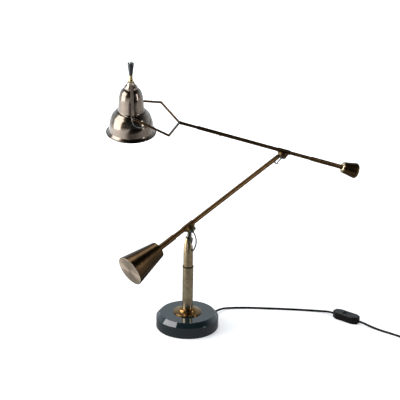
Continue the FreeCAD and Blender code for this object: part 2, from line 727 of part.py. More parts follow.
# ---------------------------------------------------------------- lower arm
def lower_arm():
    """Lower arm with its big counterweight at one end and the oblique head at the other."""
    tail_x = -(BIG_WEIGHT_X + BIG_WEIGHT_GRIP)
    head_x = LOWER_CUT_X - ARM_HEAD_LENGTH
    tube = tube_x(tail_x, head_x, LOWER_ARM_D, LOWER_ARM_BORE_D)
    flex_hole = rod(ORIGIN, Vector(0, 0, -LOWER_ARM_D), AXLE_BORE_D)
    add("lower_arm_tube", tube.cut(flex_hole), LOWER)

    # head: a spigot in the tube, then solid up to the oblique cut
    flex_turn = math.radians(ARM_FLEX_TURN)
    outward = Vector(0, math.cos(flex_turn), math.sin(flex_turn))
    seat = Vector(ARM_FLEX_X, 0, 0) + outward * (LOWER_ARM_D / 2)
    head = along_x(head_x, LOWER_CUT_X + LOWER_ARM_D, LOWER_ARM_D)
    head = head.fuse(along_x(head_x - ARM_HEAD_SPIGOT, head_x, LOWER_ARM_BORE_D - 2 * SEAT_GAP))
    head = head.cut(beyond(ARM_CUT - ARM_CUT_NORMAL * (CUT_GAP / 2), ARM_CUT_NORMAL))
    channel = along_x(head_x - ARM_HEAD_SPIGOT, ARM_FLEX_X, FLEX_D + 2 * CLEAR_GAP)
    hole = rod(Vector(ARM_FLEX_X, 0, 0), seat, FLEX_D + 2 * GROMMET_NECK_WALL)
    half_pin = ARM_CUT_NORMAL * (ARM_PIVOT_LENGTH / 2)
    pin_bore = rod(ARM_CUT - half_pin, ARM_CUT, ARM_PIVOT_D + 2 * RUNNING_GAP)
    add("lower_arm_head", head.cut(channel).cut(hole).cut(pin_bore), LOWER)
    add("upper_pivot_pin", rod(ARM_CUT - half_pin, ARM_CUT + half_pin, ARM_PIVOT_D), LOWER)
    add("arm_grommet", grommet(-LOWER_ARM_D / 4), LOWER * axis_frame(seat, outward))

    shank = tube_x(-BIG_WEIGHT_X, -BIG_SHANK_X, BIG_SHANK_D, LOWER_ARM_D + 2 * SEAT_GAP)
    add("big_weight_shank", shank, LOWER)
    small_r = BIG_WEIGHT_TIP_D / 2
    big_r = BIG_WEIGHT_D / 2
    grip_r = LOWER_ARM_D / 2 + SEAT_GAP
    face_r = big_r - BIG_FACE_RIM
    weight = turned([
        (grip_r, 0, 0),
        (small_r, 0, WEIGHT_EDGE_R),
        (big_r, BIG_WEIGHT_LENGTH, BIG_FACE_RIM / 2),
        (face_r, BIG_WEIGHT_LENGTH, 0),
        (face_r, BIG_WEIGHT_LENGTH - BIG_FACE_T, 0),
        (0, BIG_WEIGHT_LENGTH - BIG_FACE_T, 0),
        (0, BIG_WEIGHT_GRIP, 0),
        (grip_r, BIG_WEIGHT_GRIP, 0),
    ])
    backwards = LOWER * turned_frame(Vector(-BIG_WEIGHT_X, 0, 0), (Y, -90))
    add("big_counterweight", weight, backwards)
    face = turned([
        (0, BIG_WEIGHT_LENGTH - BIG_FACE_T, 0),
        (face_r - SEAT_GAP, BIG_WEIGHT_LENGTH - BIG_FACE_T, 0),
        (face_r - SEAT_GAP, BIG_WEIGHT_LENGTH, FACE_EDGE_R / 2),
        (0, BIG_WEIGHT_LENGTH, 0),
    ])
    add("big_weight_face", face, backwards)


# ---------------------------------------------------------------- upper arm
def upper_arm():
    """Upper arm tube with the small counterweight and the screw that holds the fork."""
    tail_x = SMALL_WEIGHT_X + SMALL_WEIGHT_GRIP
    tube = tube_x(UPPER_TUBE_X, tail_x, UPPER_ARM_D, UPPER_ARM_BORE_D)
    tube = tube.cut(rod(ORIGIN, Vector(0, 0, -UPPER_ARM_D), AXLE_BORE_D))
    screw_top = Vector(SET_SCREW_X, 0, -UPPER_ARM_D / 2 - SET_SCREW_PROUD)
    screw_foot = Vector(SET_SCREW_X, 0, -UPPER_ARM_BORE_D / 2)
    tube = tube.cut(rod(screw_foot + Z, screw_top, SET_SCREW_D + 2 * RUNNING_GAP))
    add("upper_arm_tube", tube, UPPER)
    add("fork_set_screw", rod(screw_foot, screw_top, SET_SCREW_D), UPPER)
    shank = tube_x(SMALL_SHANK_X, SMALL_WEIGHT_X, SMALL_SHANK_D, UPPER_ARM_D + 2 * SEAT_GAP)
    add("small_weight_shank", shank, UPPER)
    grip_r = UPPER_ARM_D / 2 + SEAT_GAP
    forwards = UPPER * turned_frame(Vector(SMALL_WEIGHT_X, 0, 0), (Y, 90))
    collar = turned([
        (grip_r, 0, 0),
        (SMALL_COLLAR_D / 2 - WEIGHT_EDGE_R, 0, 0),
        (SMALL_COLLAR_D / 2, WEIGHT_EDGE_R, 0),
        (SMALL_COLLAR_D / 2, SMALL_COLLAR_T, 0),
        (grip_r, SMALL_COLLAR_T, 0),
    ])
    add("small_weight_collar", collar, forwards)
    weight = turned([
        (grip_r, SMALL_COLLAR_T, 0),
        (SMALL_WEIGHT_TIP_D / 2, SMALL_COLLAR_T, FACE_EDGE_R),
        (SMALL_WEIGHT_D / 2, SMALL_WEIGHT_LENGTH, SMALL_WEIGHT_END_R),
        (0, SMALL_WEIGHT_LENGTH, 0),
        (0, SMALL_WEIGHT_GRIP, 0),
        (grip_r, SMALL_WEIGHT_GRIP, 0),
    ])
    add("small_counterweight", weight, forwards)


# ---------------------------------------------------------------- fork and bail
BAIL_HALF = BOWL_TOP_D / 2 + BAIL_GAP
EYE_Y = BAIL_HALF + BAIL_T / 2 + OPEN_GAP + FORK_EYE_T / 2
BOSS_X = FORK_X + FORK_BOSS_LENGTH


def fork():
    """Fork: a hollow shank that twists in the arm, and two rods bent round the shade."""
    spigot_d = UPPER_ARM_BORE_D - 2 * RUNNING_GAP
    shoulder_x = UPPER_TUBE_X - FACE_GAP
    shank = along_x(UPPER_TUBE_X + FORK_SPIGOT_LENGTH, shoulder_x, spigot_d)
    shank = shank.fuse(along_x(shoulder_x, BOSS_X, FORK_SHANK_D))
    shank = shank.cut(along_x(UPPER_TUBE_X + FORK_SPIGOT_LENGTH, BOSS_X, FORK_SHANK_BORE_D))
    add("fork_shank", shank, FORK)

    parting = Vector(FORK_X, 0, 0)
    frame = along_x(BOSS_X, FORK_X, FORK_BOSS_D)
    frame = frame.fuse(Part.makeSphere(FORK_BOSS_D / 2, parting))
    screws = []
    for side in (-1, 1):
        bend = parting + Vector(-FORK_BEND_X, side * FORK_BEND_Y, 0)
        pivot = parting + Vector(-FORK_PIVOT_X, side * EYE_Y, 0)
        outward = Vector(0, side, 0)
        inner = pivot - outward * (FORK_EYE_T / 2)
        outer = pivot + outward * (FORK_EYE_T / 2)
        frame = frame.fuse(rod(parting, bend, FORK_ROD_D))
        frame = frame.fuse(Part.makeSphere(FORK_ROD_D / 2, bend))
        frame = frame.fuse(rod(bend, pivot, FORK_ROD_D))
        room = rod(inner, inner - outward * FORK_BEND_Y, FORK_EYE_D + FORK_ROD_D)
        frame = frame.cut(room)
        frame = frame.fuse(rod(inner, outer, FORK_EYE_D))
        frame = frame.cut(rod(inner, outer, PIVOT_SCREW_D + 2 * SEAT_GAP))
        frame = frame.cut(rod(outer, outer + outward * FORK_EYE_D, PIVOT_HEAD_D + 2 * OPEN_GAP))

        # shoulder screw: head outside the fork's eye, nut inside the bail's leg
        nut_face = inner - outward * (2 * OPEN_GAP + BAIL_T)
        nut_end = nut_face - outward * PIVOT_NUT_T
        screw = rod(outer, outer + outward * PIVOT_HEAD_T, PIVOT_HEAD_D)
        screw = screw.fuse(rod(nut_end, outer, PIVOT_SCREW_D))
        screws.append(screw.fuse(rod(nut_end, nut_face, PIVOT_NUT_D)))
    add("fork_frame", frame, FORK)
    add("pivot_screws", Part.makeCompound(screws), FORK)


def bail():
    """Flat bar bent over the shade, from one pivot across the finial to the other."""
    half_t = BAIL_T / 2
    foot = BAIL_HALF + half_t
    top = BAIL_SEAT_H + BAIL_T
    legs = [
        (foot, -BAIL_FOOT, 0),
        (foot, BAIL_KNEE_H, BAIL_BEND_R),
        (BAIL_SHOULDER, top, BAIL_BEND_R),
        (-BAIL_SHOULDER, top, BAIL_BEND_R),
        (-foot, BAIL_KNEE_H, BAIL_BEND_R),
        (-foot, -BAIL_FOOT, 0),
    ]
    bar = moved(extruded(walled(legs, BAIL_T), BAIL_W), turned_frame(ORIGIN, (Z, 90)))
    for side in (-1, 1):
        inner = Vector(0, side * (BAIL_HALF - half_t), 0)
        outer = Vector(0, side * (BAIL_HALF + half_t), 0)
        bar = bar.fuse(rod(inner, outer, BAIL_EYE_D))
        bar = bar.cut(rod(inner, outer, PIVOT_SCREW_D + 2 * RUNNING_GAP))
    bar = bar.cut(disc(STUD_D + 2 * SEAT_GAP, BAIL_SEAT_H, top))
    add("bail", bar, SHADE)


# ---------------------------------------------------------------- shade
BAIL_SEAT_H = SHADE_TOP_H + CAP_H
TRUMPET_FOOT_H = BAIL_SEAT_H + BAIL_T
GRIP_FOOT_H = TRUMPET_FOOT_H + TRUMPET_H
HOLDER_TOP_H = SHADE_TOP_H - SHADE_WALL
HOLDER_FOOT_H = HOLDER_TOP_H - HOLDER_LENGTH


def shade():
    """Spun shade in two tiers, with its cap, finial, lamp holder and bulb."""
    profile = [
        (RIM_D / 2, RIM_H, 0),
        (LIP_D / 2, LIP_H, LIP_R),
        (BOWL_D / 2, BOWL_H, BOWL_R),
        (BOWL_TOP_D / 2, BOWL_TOP_H, BOWL_TOP_R),
        (SHOULDER_D / 2, SHOULDER_H, SHOULDER_R),
        (BELL_FOOT_D / 2, BELL_FOOT_H, BELL_FOOT_R),
        (BELL_D / 2, BELL_H, BELL_R),
        (CROWN_D / 2, CROWN_H, CROWN_R),
        (SHADE_TOP_D / 2, SHADE_TOP_H, SHADE_TOP_R),
        (STUD_D / 2 + SEAT_GAP, SHADE_TOP_H, 0),
    ]
    skin = turned(walled(profile, SHADE_WALL))
    bead = Part.makeTorus(RIM_D / 2, BEAD_D / 2, Z * RIM_H)
    add("shade", skin.fuse(bead), SHADE)

    dome = [
        (CAP_D / 2, 0, 0),
        (CAP_D / 2, CAP_EDGE_H, CAP_EDGE_R),
        (CAP_WAIST_D / 2, CAP_WAIST_H, CAP_WAIST_R),
        (CAP_TOP_D / 2, CAP_H, CAP_TOP_R),
        (STUD_D / 2 + SEAT_GAP, CAP_H, 0),
    ]
    cap = turned(walled(dome, CAP_WALL))
    for i in range(VENT_COUNT):
        outward = direction((i + 0.5) * 360 / VENT_COUNT, VENT_ELEVATION)
        foot = Vector(0, 0, CAP_EDGE_H - CAP_WALL)
        cap = cap.cut(rod(foot, foot + outward * CAP_D, VENT_D))
    add("shade_cap", cap, SHADE * turned_frame(Z * SHADE_TOP_H))

    # trumpet neck with the stud that holds the cap, shade and lamp holder together
    stud_r = STUD_D / 2
    waist_r = TRUMPET_WAIST_D / 2
    stud_foot = HOLDER_TOP_H - STUD_SCREWED
    stud_top = GRIP_FOOT_H + STUD_SCREWED
    trumpet = turned([
        (0, stud_foot, 0),
        (stud_r, stud_foot, 0),
        (stud_r, TRUMPET_FOOT_H, 0),
        (TRUMPET_D / 2, TRUMPET_FOOT_H, TRUMPET_EDGE_R),
        (waist_r, TRUMPET_FOOT_H + TRUMPET_H * TRUMPET_WAIST_SHARE, TRUMPET_R),
        (waist_r, GRIP_FOOT_H, 0),
        (stud_r, GRIP_FOOT_H, 0),
        (stud_r, stud_top, 0),
        (0, stud_top, 0),
    ])
    add("finial_neck", trumpet, SHADE)
    grip_top = GRIP_FOOT_H + GRIP_H
    bore_r = stud_r + SEAT_GAP
    grip = turned([
        (bore_r, GRIP_FOOT_H, 0),
        (GRIP_FOOT_D / 2, GRIP_FOOT_H, GRIP_FOOT_R),
        (GRIP_D / 2, grip_top, GRIP_EDGE_R),
        (0, grip_top, 0),
        (0, stud_top + OPEN_GAP, 0),
        (bore_r, stud_top + OPEN_GAP, 0),
    ])
    add("finial_grip", grip, SHADE)
    tip = turned([
        (0, grip_top, 0),
        (TIP_D / 2, grip_top, 0),
        (TIP_D / 2, grip_top + TIP_H, TIP_R),
        (0, grip_top + TIP_H, 0),
    ])
    add("finial_tip", tip, SHADE)

    socket_r = BULB_CAP_D / 2 + SEAT_GAP
    socket_top = HOLDER_FOOT_H + BULB_CAP_LENGTH
    holder = turned([
        (socket_r, HOLDER_FOOT_H, 0),
        (HOLDER_D / 2, HOLDER_FOOT_H, HOLDER_EDGE_R),
        (HOLDER_D / 2, HOLDER_TOP_H, HOLDER_EDGE_R),
        (bore_r, HOLDER_TOP_H, 0),
        (bore_r, stud_foot, 0),
        (0, stud_foot, 0),
        (0, socket_top, 0),
        (socket_r, socket_top, 0),
    ])
    add("lamp_holder", holder, SHADE)
    add("bulb_cap", disc(BULB_CAP_D, HOLDER_FOOT_H, socket_top), SHADE)
    add("bulb_glass", bulb_globe(0).cut(bulb_globe(BULB_WALL)), SHADE)


def bulb_globe(inset):
    """The bulb's globe and neck as a solid, inset all round by the wall."""
    centre_h = HOLDER_FOOT_H - BULB_LENGTH + BULB_D / 2
    globe_r = BULB_D / 2 - inset
    neck_r = BULB_NECK_D / 2 - inset
    neck = turned([
        (0, centre_h, 0),
        (globe_r * BULB_THROAT_FOOT, centre_h, 0),
        (neck_r, centre_h + globe_r * BULB_THROAT_TOP, globe_r * BULB_THROAT_ROUND),
        (neck_r, HOLDER_FOOT_H, 0),
        (0, HOLDER_FOOT_H, 0),
    ])
    return Part.makeSphere(globe_r, Z * centre_h).fuse(neck)


# ---------------------------------------------------------------- flex loops over the joints
def flex_loops():
    """Short loops of flex that bridge the oblique joints and the shade's pivot."""
    outward = direction(MAST_GROMMET_AZIMUTH)
    mast_exit = outward * (MAST_D / 2) + Z * MAST_GROMMET_Z
    lid_exit = LOWER.multVec(Vector(0, 0, CUP_BOTTOM - GROMMET_T))
    down = LOWER.Rotation.multVec(Z) * -1
    add("stem_flex_loop", cord("stem_flex_loop", [
        LOWER.multVec(Vector(0, 0, CUP_BOTTOM)),
        lid_exit + down * 4.0,
        Vector(18.8, -5.0, 237.0),
        Vector(19.0, -9.5, 224.0),
        mast_exit + outward * 6.5 + Z * 4.5,
        mast_exit + outward * 4.6,
        mast_exit + outward * 0.2,
    ], FLEX_D))

    flex_turn = math.radians(ARM_FLEX_TURN)
    outward = Vector(0, math.cos(flex_turn), math.sin(flex_turn))
    arm_exit = LOWER.multVec(Vector(ARM_FLEX_X, 0, 0) + outward * (LOWER_ARM_D / 2))
    outward = LOWER.Rotation.multVec(outward)
    lid_exit = UPPER.multVec(Vector(0, 0, CUP_BOTTOM - GROMMET_T))
    down = UPPER.Rotation.multVec(Z) * -1
    add("arm_flex_loop", cord("arm_flex_loop", [
        UPPER.multVec(Vector(0, 0, CUP_BOTTOM)),
        lid_exit + down * 3.0,
        lid_exit + down * 7.5 + Vector(-5.5, -4.5, 0),
        arm_exit + outward * 8.0 + Vector(5.0, 5.0, -1.5),
        arm_exit + outward * 4.6,
        arm_exit + outward * 0.2,
    ], FLEX_D))

    # from the foot of the bail round under the pivot, close beside the bowl, to the rod
    foot = Vector(0, -BAIL_HALF, -BAIL_FOOT)
    beside = -(BOWL_D / 2 + FLEX_ROOM + FLEX_D / 2)
    rod_start = Vector(FORK_X - FORK_BEND_X, -FORK_BEND_Y, 0)
    rod_end = Vector(FORK_X - FORK_PIVOT_X, -EYE_Y, 0)
    exit_point = rod_end + (rod_start - rod_end) * SHADE_FLEX_SHARE - Z * (FORK_ROD_D / 2)
    add("shade_flex_loop", cord("shade_flex_loop", [
        SHADE.multVec(foot),
        SHADE.multVec(foot - Z * 5.0),
        SHADE.multVec(Vector(2.5, (beside + foot.y) / 2, foot.z - 9.5)),
        SHADE.multVec(Vector(8.5, beside, foot.z - 12.5)),
        FORK.multVec(exit_point + Vector(-3.5, 0, -9.5)),
        FORK.multVec(exit_point - Z * 5.0),
        FORK.multVec(exit_point),
    ], FLEX_D))


# ---------------------------------------------------------------- mains lead
def switch_outline(inset):
    """Outline of the inline switch from above, as (along, across, corner radius)."""
    half = SWITCH_LENGTH / 2 - inset
    side = SWITCH_W / 2 - inset
    end = SWITCH_END_W / 2 - inset
    shoulder = SWITCH_LENGTH / 2 - SWITCH_SHOULDER
    return [
        (-half, -end, SWITCH_END_R), (-shoulder, -side, SWITCH_CORNER_R),
        (shoulder, -side, SWITCH_CORNER_R), (half, -end, SWITCH_END_R),
        (half, end, SWITCH_END_R), (shoulder, side, SWITCH_CORNER_R),
        (-shoulder, side, SWITCH_CORNER_R), (-half, end, SWITCH_END_R),
    ]


def slab(outline, bottom, top):
    """Flat block from an outline seen from above."""
    wire = rounded_wire(outline)
    wire = moved(wire, turned_frame(Z * bottom, (X, -90)))
    return Part.Face(wire).extrude(Z * (top - bottom))


def cord_switch():
    """Inline switch in two halves with its rocker."""
    place = turned_frame(SWITCH_CENTRE, (Z, SWITCH_AZIMUTH))
    lower = slab(switch_outline(0), 0, SWITCH_SPLIT_Z)
    lower = lower.makeFillet(SWITCH_EDGE_R, lower_edges(lower, 0))
    upper = slab(switch_outline(0), SWITCH_SPLIT_Z, SWITCH_H)
    upper = upper.makeFillet(SWITCH_EDGE_R, lower_edges(upper, SWITCH_H))
    axis = Vector(0, 0, ROCKER_AXIS_Z)
    across = Vector(0, ROCKER_W / 2, 0)
    gap = Vector(0, OPEN_GAP, 0)
    drum = rod(axis - across, axis + across, ROCKER_D)
    floor_z = ROCKER_AXIS_Z - ROCKER_DEPTH
    half = ROCKER_D / 2
    rocker = drum.common(extruded([
        (-half, floor_z, 0),
        (half, floor_z, 0),
        (half, SWITCH_H - ROCKER_DIP, 0),
        (0, SWITCH_H, 0),
        (-half, SWITCH_H + ROCKER_RISE, 0),
    ], ROCKER_W))
    pocket = rod(axis - across - gap, axis + across + gap, ROCKER_D + 2 * OPEN_GAP)
    pocket_floor = floor_z - ROCKER_DIP - OPEN_GAP - ROCKER_ROOM
    room = Part.makeBox(2 * ROCKER_D, 2 * ROCKER_D, ROCKER_D,
                        Vector(-ROCKER_D, -ROCKER_D, pocket_floor))
    add("switch_lower", lower, place)
    add("switch_upper", upper.cut(pocket.common(room)), place)
    add("switch_rocker", rocker, place)


def lower_edges(solid, height):
    """Edges that lie flat at one height."""
    flat = []
    for edge in solid.Edges:
        box = edge.BoundBox
        if abs(box.ZMin - height) < 1e-6 and abs(box.ZMax - height) < 1e-6:
            flat.append(edge)
    return flat


def coil_point(turns):
    """Middle of the coiled cord, by turns counted from where the spiral reverses."""
    pitch = CORD_D + COIL_GAP
    radius = COIL_INNER_R + pitch * abs(turns)
    climb = min(max(turns * 2 + 0.5, 0), 1)
    height = CORD_D / 2 + pitch * (3 * climb ** 2 - 2 * climb ** 3)
    heading = direction(COIL_AZIMUTH - 90 + (turns + COIL_TURNS_IN) * 360)
    return COIL_CENTRE + heading * radius + Z * height


def coil_heading(turns):
    """Heading of the coiled cord at that turn."""
    step = 1e-4
    before = coil_point(max(turns - step, -COIL_TURNS_IN))
    after = coil_point(min(turns + step, COIL_TURNS_OUT))
    return unit(after - before)


COIL_OUTER_R = COIL_INNER_R + (CORD_D + COIL_GAP) * COIL_TURNS_IN
COIL_CENTRE = Vector(COIL_START.x, COIL_START.y, 0) + direction(COIL_AZIMUTH + 90) * COIL_OUTER_R


def cord_coil():
    """Spare cord in one unbroken coil: a flat spiral in, a climb, and a spiral out."""
    quarters = round((COIL_TURNS_IN + COIL_TURNS_OUT) * 4)
    places = [-COIL_TURNS_IN + i / 4 for i in range(quarters + 1)]
    points = [coil_point(turns) for turns in places]
    headings = [coil_heading(turns) for turns in places]
    edges = [Part.LineSegment(points[0] - headings[0] * CORD_D, points[0]).toShape()]
    for i in range(quarters):
        edges += biarc(points[i], headings[i], points[i + 1], headings[i + 1])
    edges.append(Part.LineSegment(points[-1], points[-1] + headings[-1] * CORD_D).toShape())
    samples = [coil_point(-COIL_TURNS_IN + i / 48) for i in range(quarters * 12 + 1)]
    least = CORD_D * 9
    for i, point in enumerate(samples):
        for other in samples[i + 24:]:
            least = min(least, point.distanceToPoint(other))
    length = sum(edge.Length for edge in edges)
    print(f"cord_coil: length {length:.0f}, least gap to itself {least - CORD_D:.2f}")
    add("cord_coil", swept(edges, CORD_D))
    return points[0], headings[0], points[-1], headings[-1]


def mains_lead():
    """Cord from the gland through the switch to the coil, and on to the plug."""
    outward = direction(GLAND_AZIMUTH)
    gland_tip = outward * (BASE_D / 2 + GLAND_REACH) + Z * GLAND_Z
    line = direction(SWITCH_AZIMUTH)
    switch_in = SWITCH_CENTRE - line * (SWITCH_LENGTH / 2) + Z * SWITCH_CORD_Z
    switch_out = SWITCH_CENTRE + line * (SWITCH_LENGTH / 2) + Z * SWITCH_CORD_Z
    add("cord_to_switch", cord("cord_to_switch", [
        gland_tip,
        gland_tip + outward * 13,
        Vector(90.0, 99.0, 4.6),
        Vector(112.0, 107.5, 2.9),
        Vector(159.0, 110.0, 2.9),
        Vector(212.0, 107.5, 2.9),
        Vector(268.0, 104.5, 2.9),
        Vector(318.0, 99.5, 2.9),
        Vector(345.0, 93.5, 4.2),
        switch_in - line * 15,
        switch_in,
    ], CORD_D))

    first, arrival, last, heading = cord_coil()
    coil_in = first - arrival * CORD_D
    coil_out = last + heading * CORD_D
    add("cord_to_coil", cord("cord_to_coil", [
        switch_out,
        switch_out + line * 14,
        Vector(456.0, 9.5, 4.2),
        Vector(479.0, -10.5, 2.9),
        Vector(507.0, -30.0, CORD_D / 2),
        coil_in - arrival * 17,
        coil_in,
    ], CORD_D))

    plug_line = direction(COIL_AZIMUTH + 90 + PLUG_TURN)
    nose = coil_out + heading * 40 + plug_line * 26
    nose = Vector(nose.x, nose.y, PLUG_H / 2)
    add("cord_to_plug", cord("cord_to_plug", [
        coil_out,
        coil_out + heading * 17,
        coil_out + heading * 33 + plug_line * 4 - Z * 1.5,
        nose - plug_line * 14,
        nose,
    ], CORD_D))
    plug(nose, COIL_AZIMUTH + 90 + PLUG_TURN)


def plug(nose, azimuth):
    """Flat two-pin plug that lies on the table at the end of the cord."""
    place = turned_frame(Vector(nose.x, nose.y, 0), (Z, azimuth))
    side = PLUG_W / 2
    outline = [
        (0, -PLUG_NOSE_W / 2, PLUG_NOSE_R), (PLUG_SHOULDER, -side, PLUG_CORNER_R),
        (PLUG_LENGTH, -side, PLUG_CORNER_R), (PLUG_LENGTH, side, PLUG_CORNER_R),
        (PLUG_SHOULDER, side, PLUG_CORNER_R), (0, PLUG_NOSE_W / 2, PLUG_NOSE_R),
    ]
    body = slab(outline, 0, PLUG_H)
    body = body.makeFillet(PLUG_EDGE_R, lower_edges(body, 0) + lower_edges(body, PLUG_H))
    pins = []
    for y in (-PIN_SPACING / 2, PIN_SPACING / 2):
        foot = Vector(PLUG_LENGTH - PIN_SEAT, y, PLUG_H / 2)
        tip = Vector(PLUG_LENGTH + PIN_LENGTH, y, PLUG_H / 2)
        pins.append(rod(foot, tip, PIN_D))
        body = body.cut(rod(foot, tip, PIN_D))
    add("plug_body", body, place)
    add("plug_pins", Part.makeCompound(pins), place)


# ---------------------------------------------------------------- build and write
base()
mast()
hinge("lower", LOWER, LOWER_ARM_D)
lower_knuckle()
lower_arm()
hinge("upper", UPPER, UPPER_ARM_D)
upper_knuckle()
upper_arm()
fork()
bail()
shade()
flex_loops()
cord_switch()
mains_lead()

os.makedirs("parts", exist_ok=True)
for name, shape in nodes.items():
    shape.exportStep("parts/" + name + ".step")
print(f"{len(nodes)} nodes")
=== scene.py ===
# %% [markdown]
# # A counterweight balance desk lamp
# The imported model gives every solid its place.  This lesson dresses it: finishes
# first worked out from what each metal is, then a cord that lies as a cord does,
# then the small fastenings that make the lamp look made rather than drawn.

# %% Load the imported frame
import math

import bmesh
import bpy
from mathutils import Euler, Matrix, Vector


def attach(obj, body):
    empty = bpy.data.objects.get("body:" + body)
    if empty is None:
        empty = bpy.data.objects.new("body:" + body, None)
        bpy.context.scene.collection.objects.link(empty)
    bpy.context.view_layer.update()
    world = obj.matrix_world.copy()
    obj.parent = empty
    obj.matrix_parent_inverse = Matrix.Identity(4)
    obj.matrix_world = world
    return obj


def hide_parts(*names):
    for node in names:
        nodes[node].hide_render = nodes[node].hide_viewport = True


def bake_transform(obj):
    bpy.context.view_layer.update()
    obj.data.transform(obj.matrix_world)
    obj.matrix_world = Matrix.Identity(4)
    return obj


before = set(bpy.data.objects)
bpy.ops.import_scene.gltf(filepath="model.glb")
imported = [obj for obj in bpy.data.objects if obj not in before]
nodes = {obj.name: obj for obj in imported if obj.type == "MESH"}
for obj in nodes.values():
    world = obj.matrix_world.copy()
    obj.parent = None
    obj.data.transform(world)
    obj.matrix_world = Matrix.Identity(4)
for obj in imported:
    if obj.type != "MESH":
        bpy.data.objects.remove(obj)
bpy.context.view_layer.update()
MM = 0.001
UP = Vector((0, 0, 1))

# %% [markdown]
# ## The camera
# A long lens from 3.5 m keeps the arms from spreading.  It looks down by 20
# degrees and is rolled by one, as the base's ellipse and the stem show.

# %% Camera
CAMERA_PITCH = math.radians(20.1)
CAMERA_ROLL = math.radians(1.0)
CAMERA_PLACE = Vector((26.5, -3178.5, 1498.9)) * MM
LENS_MM = 126.0          # on a 36 mm sensor
camera_data = bpy.data.cameras.new("camera")
camera_data.lens = LENS_MM
camera_data.sensor_width = 36.0
camera_data.clip_end = 60.0
camera = bpy.data.objects.new("camera", camera_data)
bpy.context.scene.collection.objects.link(camera)
camera.rotation_mode = "QUATERNION"
camera.location = CAMERA_PLACE
look = Euler((math.pi / 2 - CAMERA_PITCH, 0, 0)).to_quaternion()
camera.rotation_quaternion = look @ Euler((0, 0, CAMERA_ROLL)).to_quaternion()
bpy.context.scene.camera = camera
print("camera", [round(c, 3) for c in camera.location])

# %% [markdown]
# ## The lamp's own axes
# Each arm, the fork and the shade has its own set of axes.  Brushing runs along
# an arm and round a shade, so every finish needs to know which way its piece lies.

# %% Frames
def turned(origin, *turns):
    """Matrix at an origin in mm, turned by (axis, degrees) pairs about its own axes."""
    place = Matrix.Translation(Vector(origin) * MM)
    for axis, angle in turns:
        place = place @ Matrix.Rotation(math.radians(angle), 4, axis)
    return place


STEM = turned((0, 0, 0))
LOWER = turned((-0.9, 6.0, 265.7), ("Z", 41.0), ("Y", -21.7), ("X", -40.4))
UPPER = turned((237.9, 208.0, 395.7), ("Z", 11.0), ("Y", 17.8), ("X", 6.4))
FORK = UPPER @ Matrix.Rotation(math.radians(3.8), 4, "X")
SHADE = FORK @ turned((-412.0, 0, 0), ("Y", -19.2))
BIG_WEIGHT = LOWER @ turned((-102.0, 0, 0), ("Y", -90.0))
SMALL_WEIGHT = UPPER @ turned((161.9, 0, 0), ("Y", 90.0))
SWITCH = turned((402.0, 51.5, 0), ("Z", -39.0))
print("shade axis", [round(c, 3) for c in SHADE.col[2][:3]])

# %% [markdown]
# ## Colour and nodes
# Colours are written as a paint chart gives them, in sRGB hex, and turned to
# linear once.  One function adds any shader node with its settings and links.

# %% Colour and node helpers
def linear(code):
    """An sRGB hex colour as linear RGBA."""
    values = [int(code[i:i + 2], 16) / 255 for i in (0, 2, 4)]
    lit = [v / 12.92 if v <= 0.04045 else ((v + 0.055) / 1.055) ** 2.4 for v in values]
    return (*lit, 1.0)


def node(tree, kind, inputs=None, **settings):
    """Add a shader node; an input is a value, or the socket that feeds it."""
    made = tree.nodes.new("ShaderNode" + kind)
    for key, value in settings.items():
        setattr(made, key, value)
    for key, value in (inputs or {}).items():
        if isinstance(value, bpy.types.NodeSocket):
            tree.links.new(value, made.inputs[key])
        else:
            made.inputs[key].default_value = value
    return made


def blank_finish(name):
    """A new material with its Principled shader."""
    material = bpy.data.materials.new(name)
    material.use_nodes = True
    return material, material.node_tree, material.node_tree.nodes["Principled BSDF"]


def local_place(tree, place):
    """Coordinates along a piece's own axes, in metres."""
    coordinates = node(tree, "TexCoord").outputs["Object"]
    return node(tree, "Mapping", {
        "Vector": coordinates,
        "Location": place.to_translation(),
        "Rotation": place.to_euler(),
    }, vector_type="TEXTURE").outputs["Vector"]


print("linear mid grey", round(linear("808080")[0], 3))

# %% [markdown]
# ## Places on a piece
# A finish needs to know where on its piece it is: how far up the piece's own axis,
# and which way a lathe's cutter went round it.  Both come from the local axes.

# %% Places on a piece
def above(tree, local, low_mm, high_mm):
    """How far a place lies between two heights on its own Z, from 0 to 1."""
    height = node(tree, "SeparateXYZ", {0: local}).outputs["Z"]
    return node(tree, "MapRange", {
        "Value": height, "From Min": low_mm * MM, "From Max": high_mm * MM,
    }, interpolation_type="SMOOTHSTEP").outputs["Result"]


def round_the_axis(tree, local, place):
    """Tangent of the circles round a piece's own Z, in world space."""
    parts = node(tree, "SeparateXYZ", {0: local}).outputs
    back = node(tree, "Math", {0: parts["Y"], 1: -1.0}, operation="MULTIPLY").outputs[0]
    circle = node(tree, "CombineXYZ", {"X": back, "Y": parts["X"]}).outputs["Vector"]
    outside = node(tree, "Mapping", {
        "Vector": circle, "Rotation": place.to_euler(),
    }, vector_type="VECTOR").outputs["Vector"]
    world_way = node(tree, "VectorTransform", {
        "Vector": outside,
    }, vector_type="VECTOR", convert_from="OBJECT", convert_to="WORLD").outputs["Vector"]
    return node(tree, "VectorMath", {0: world_way}, operation="NORMALIZE").outputs[0]


print("an arm's axis", [round(c, 3) for c in LOWER.col[0][:3]])

# %% [markdown]
# ## Marks of the making
# A drawn tube has fine lines along it, a turned or spun piece has rings round its
# axis.  One noise makes both: stretched along the tube, or read in radius and
# height.  Real tool marks are 0.1 to 0.3 mm apart, too fine to show from 3.5 m, so
# they are drawn about 1 mm apart.

# %% Marks of the making
ALONG_STRETCH = 6.0      # features per metre along a drawn tube, so that its lines are long


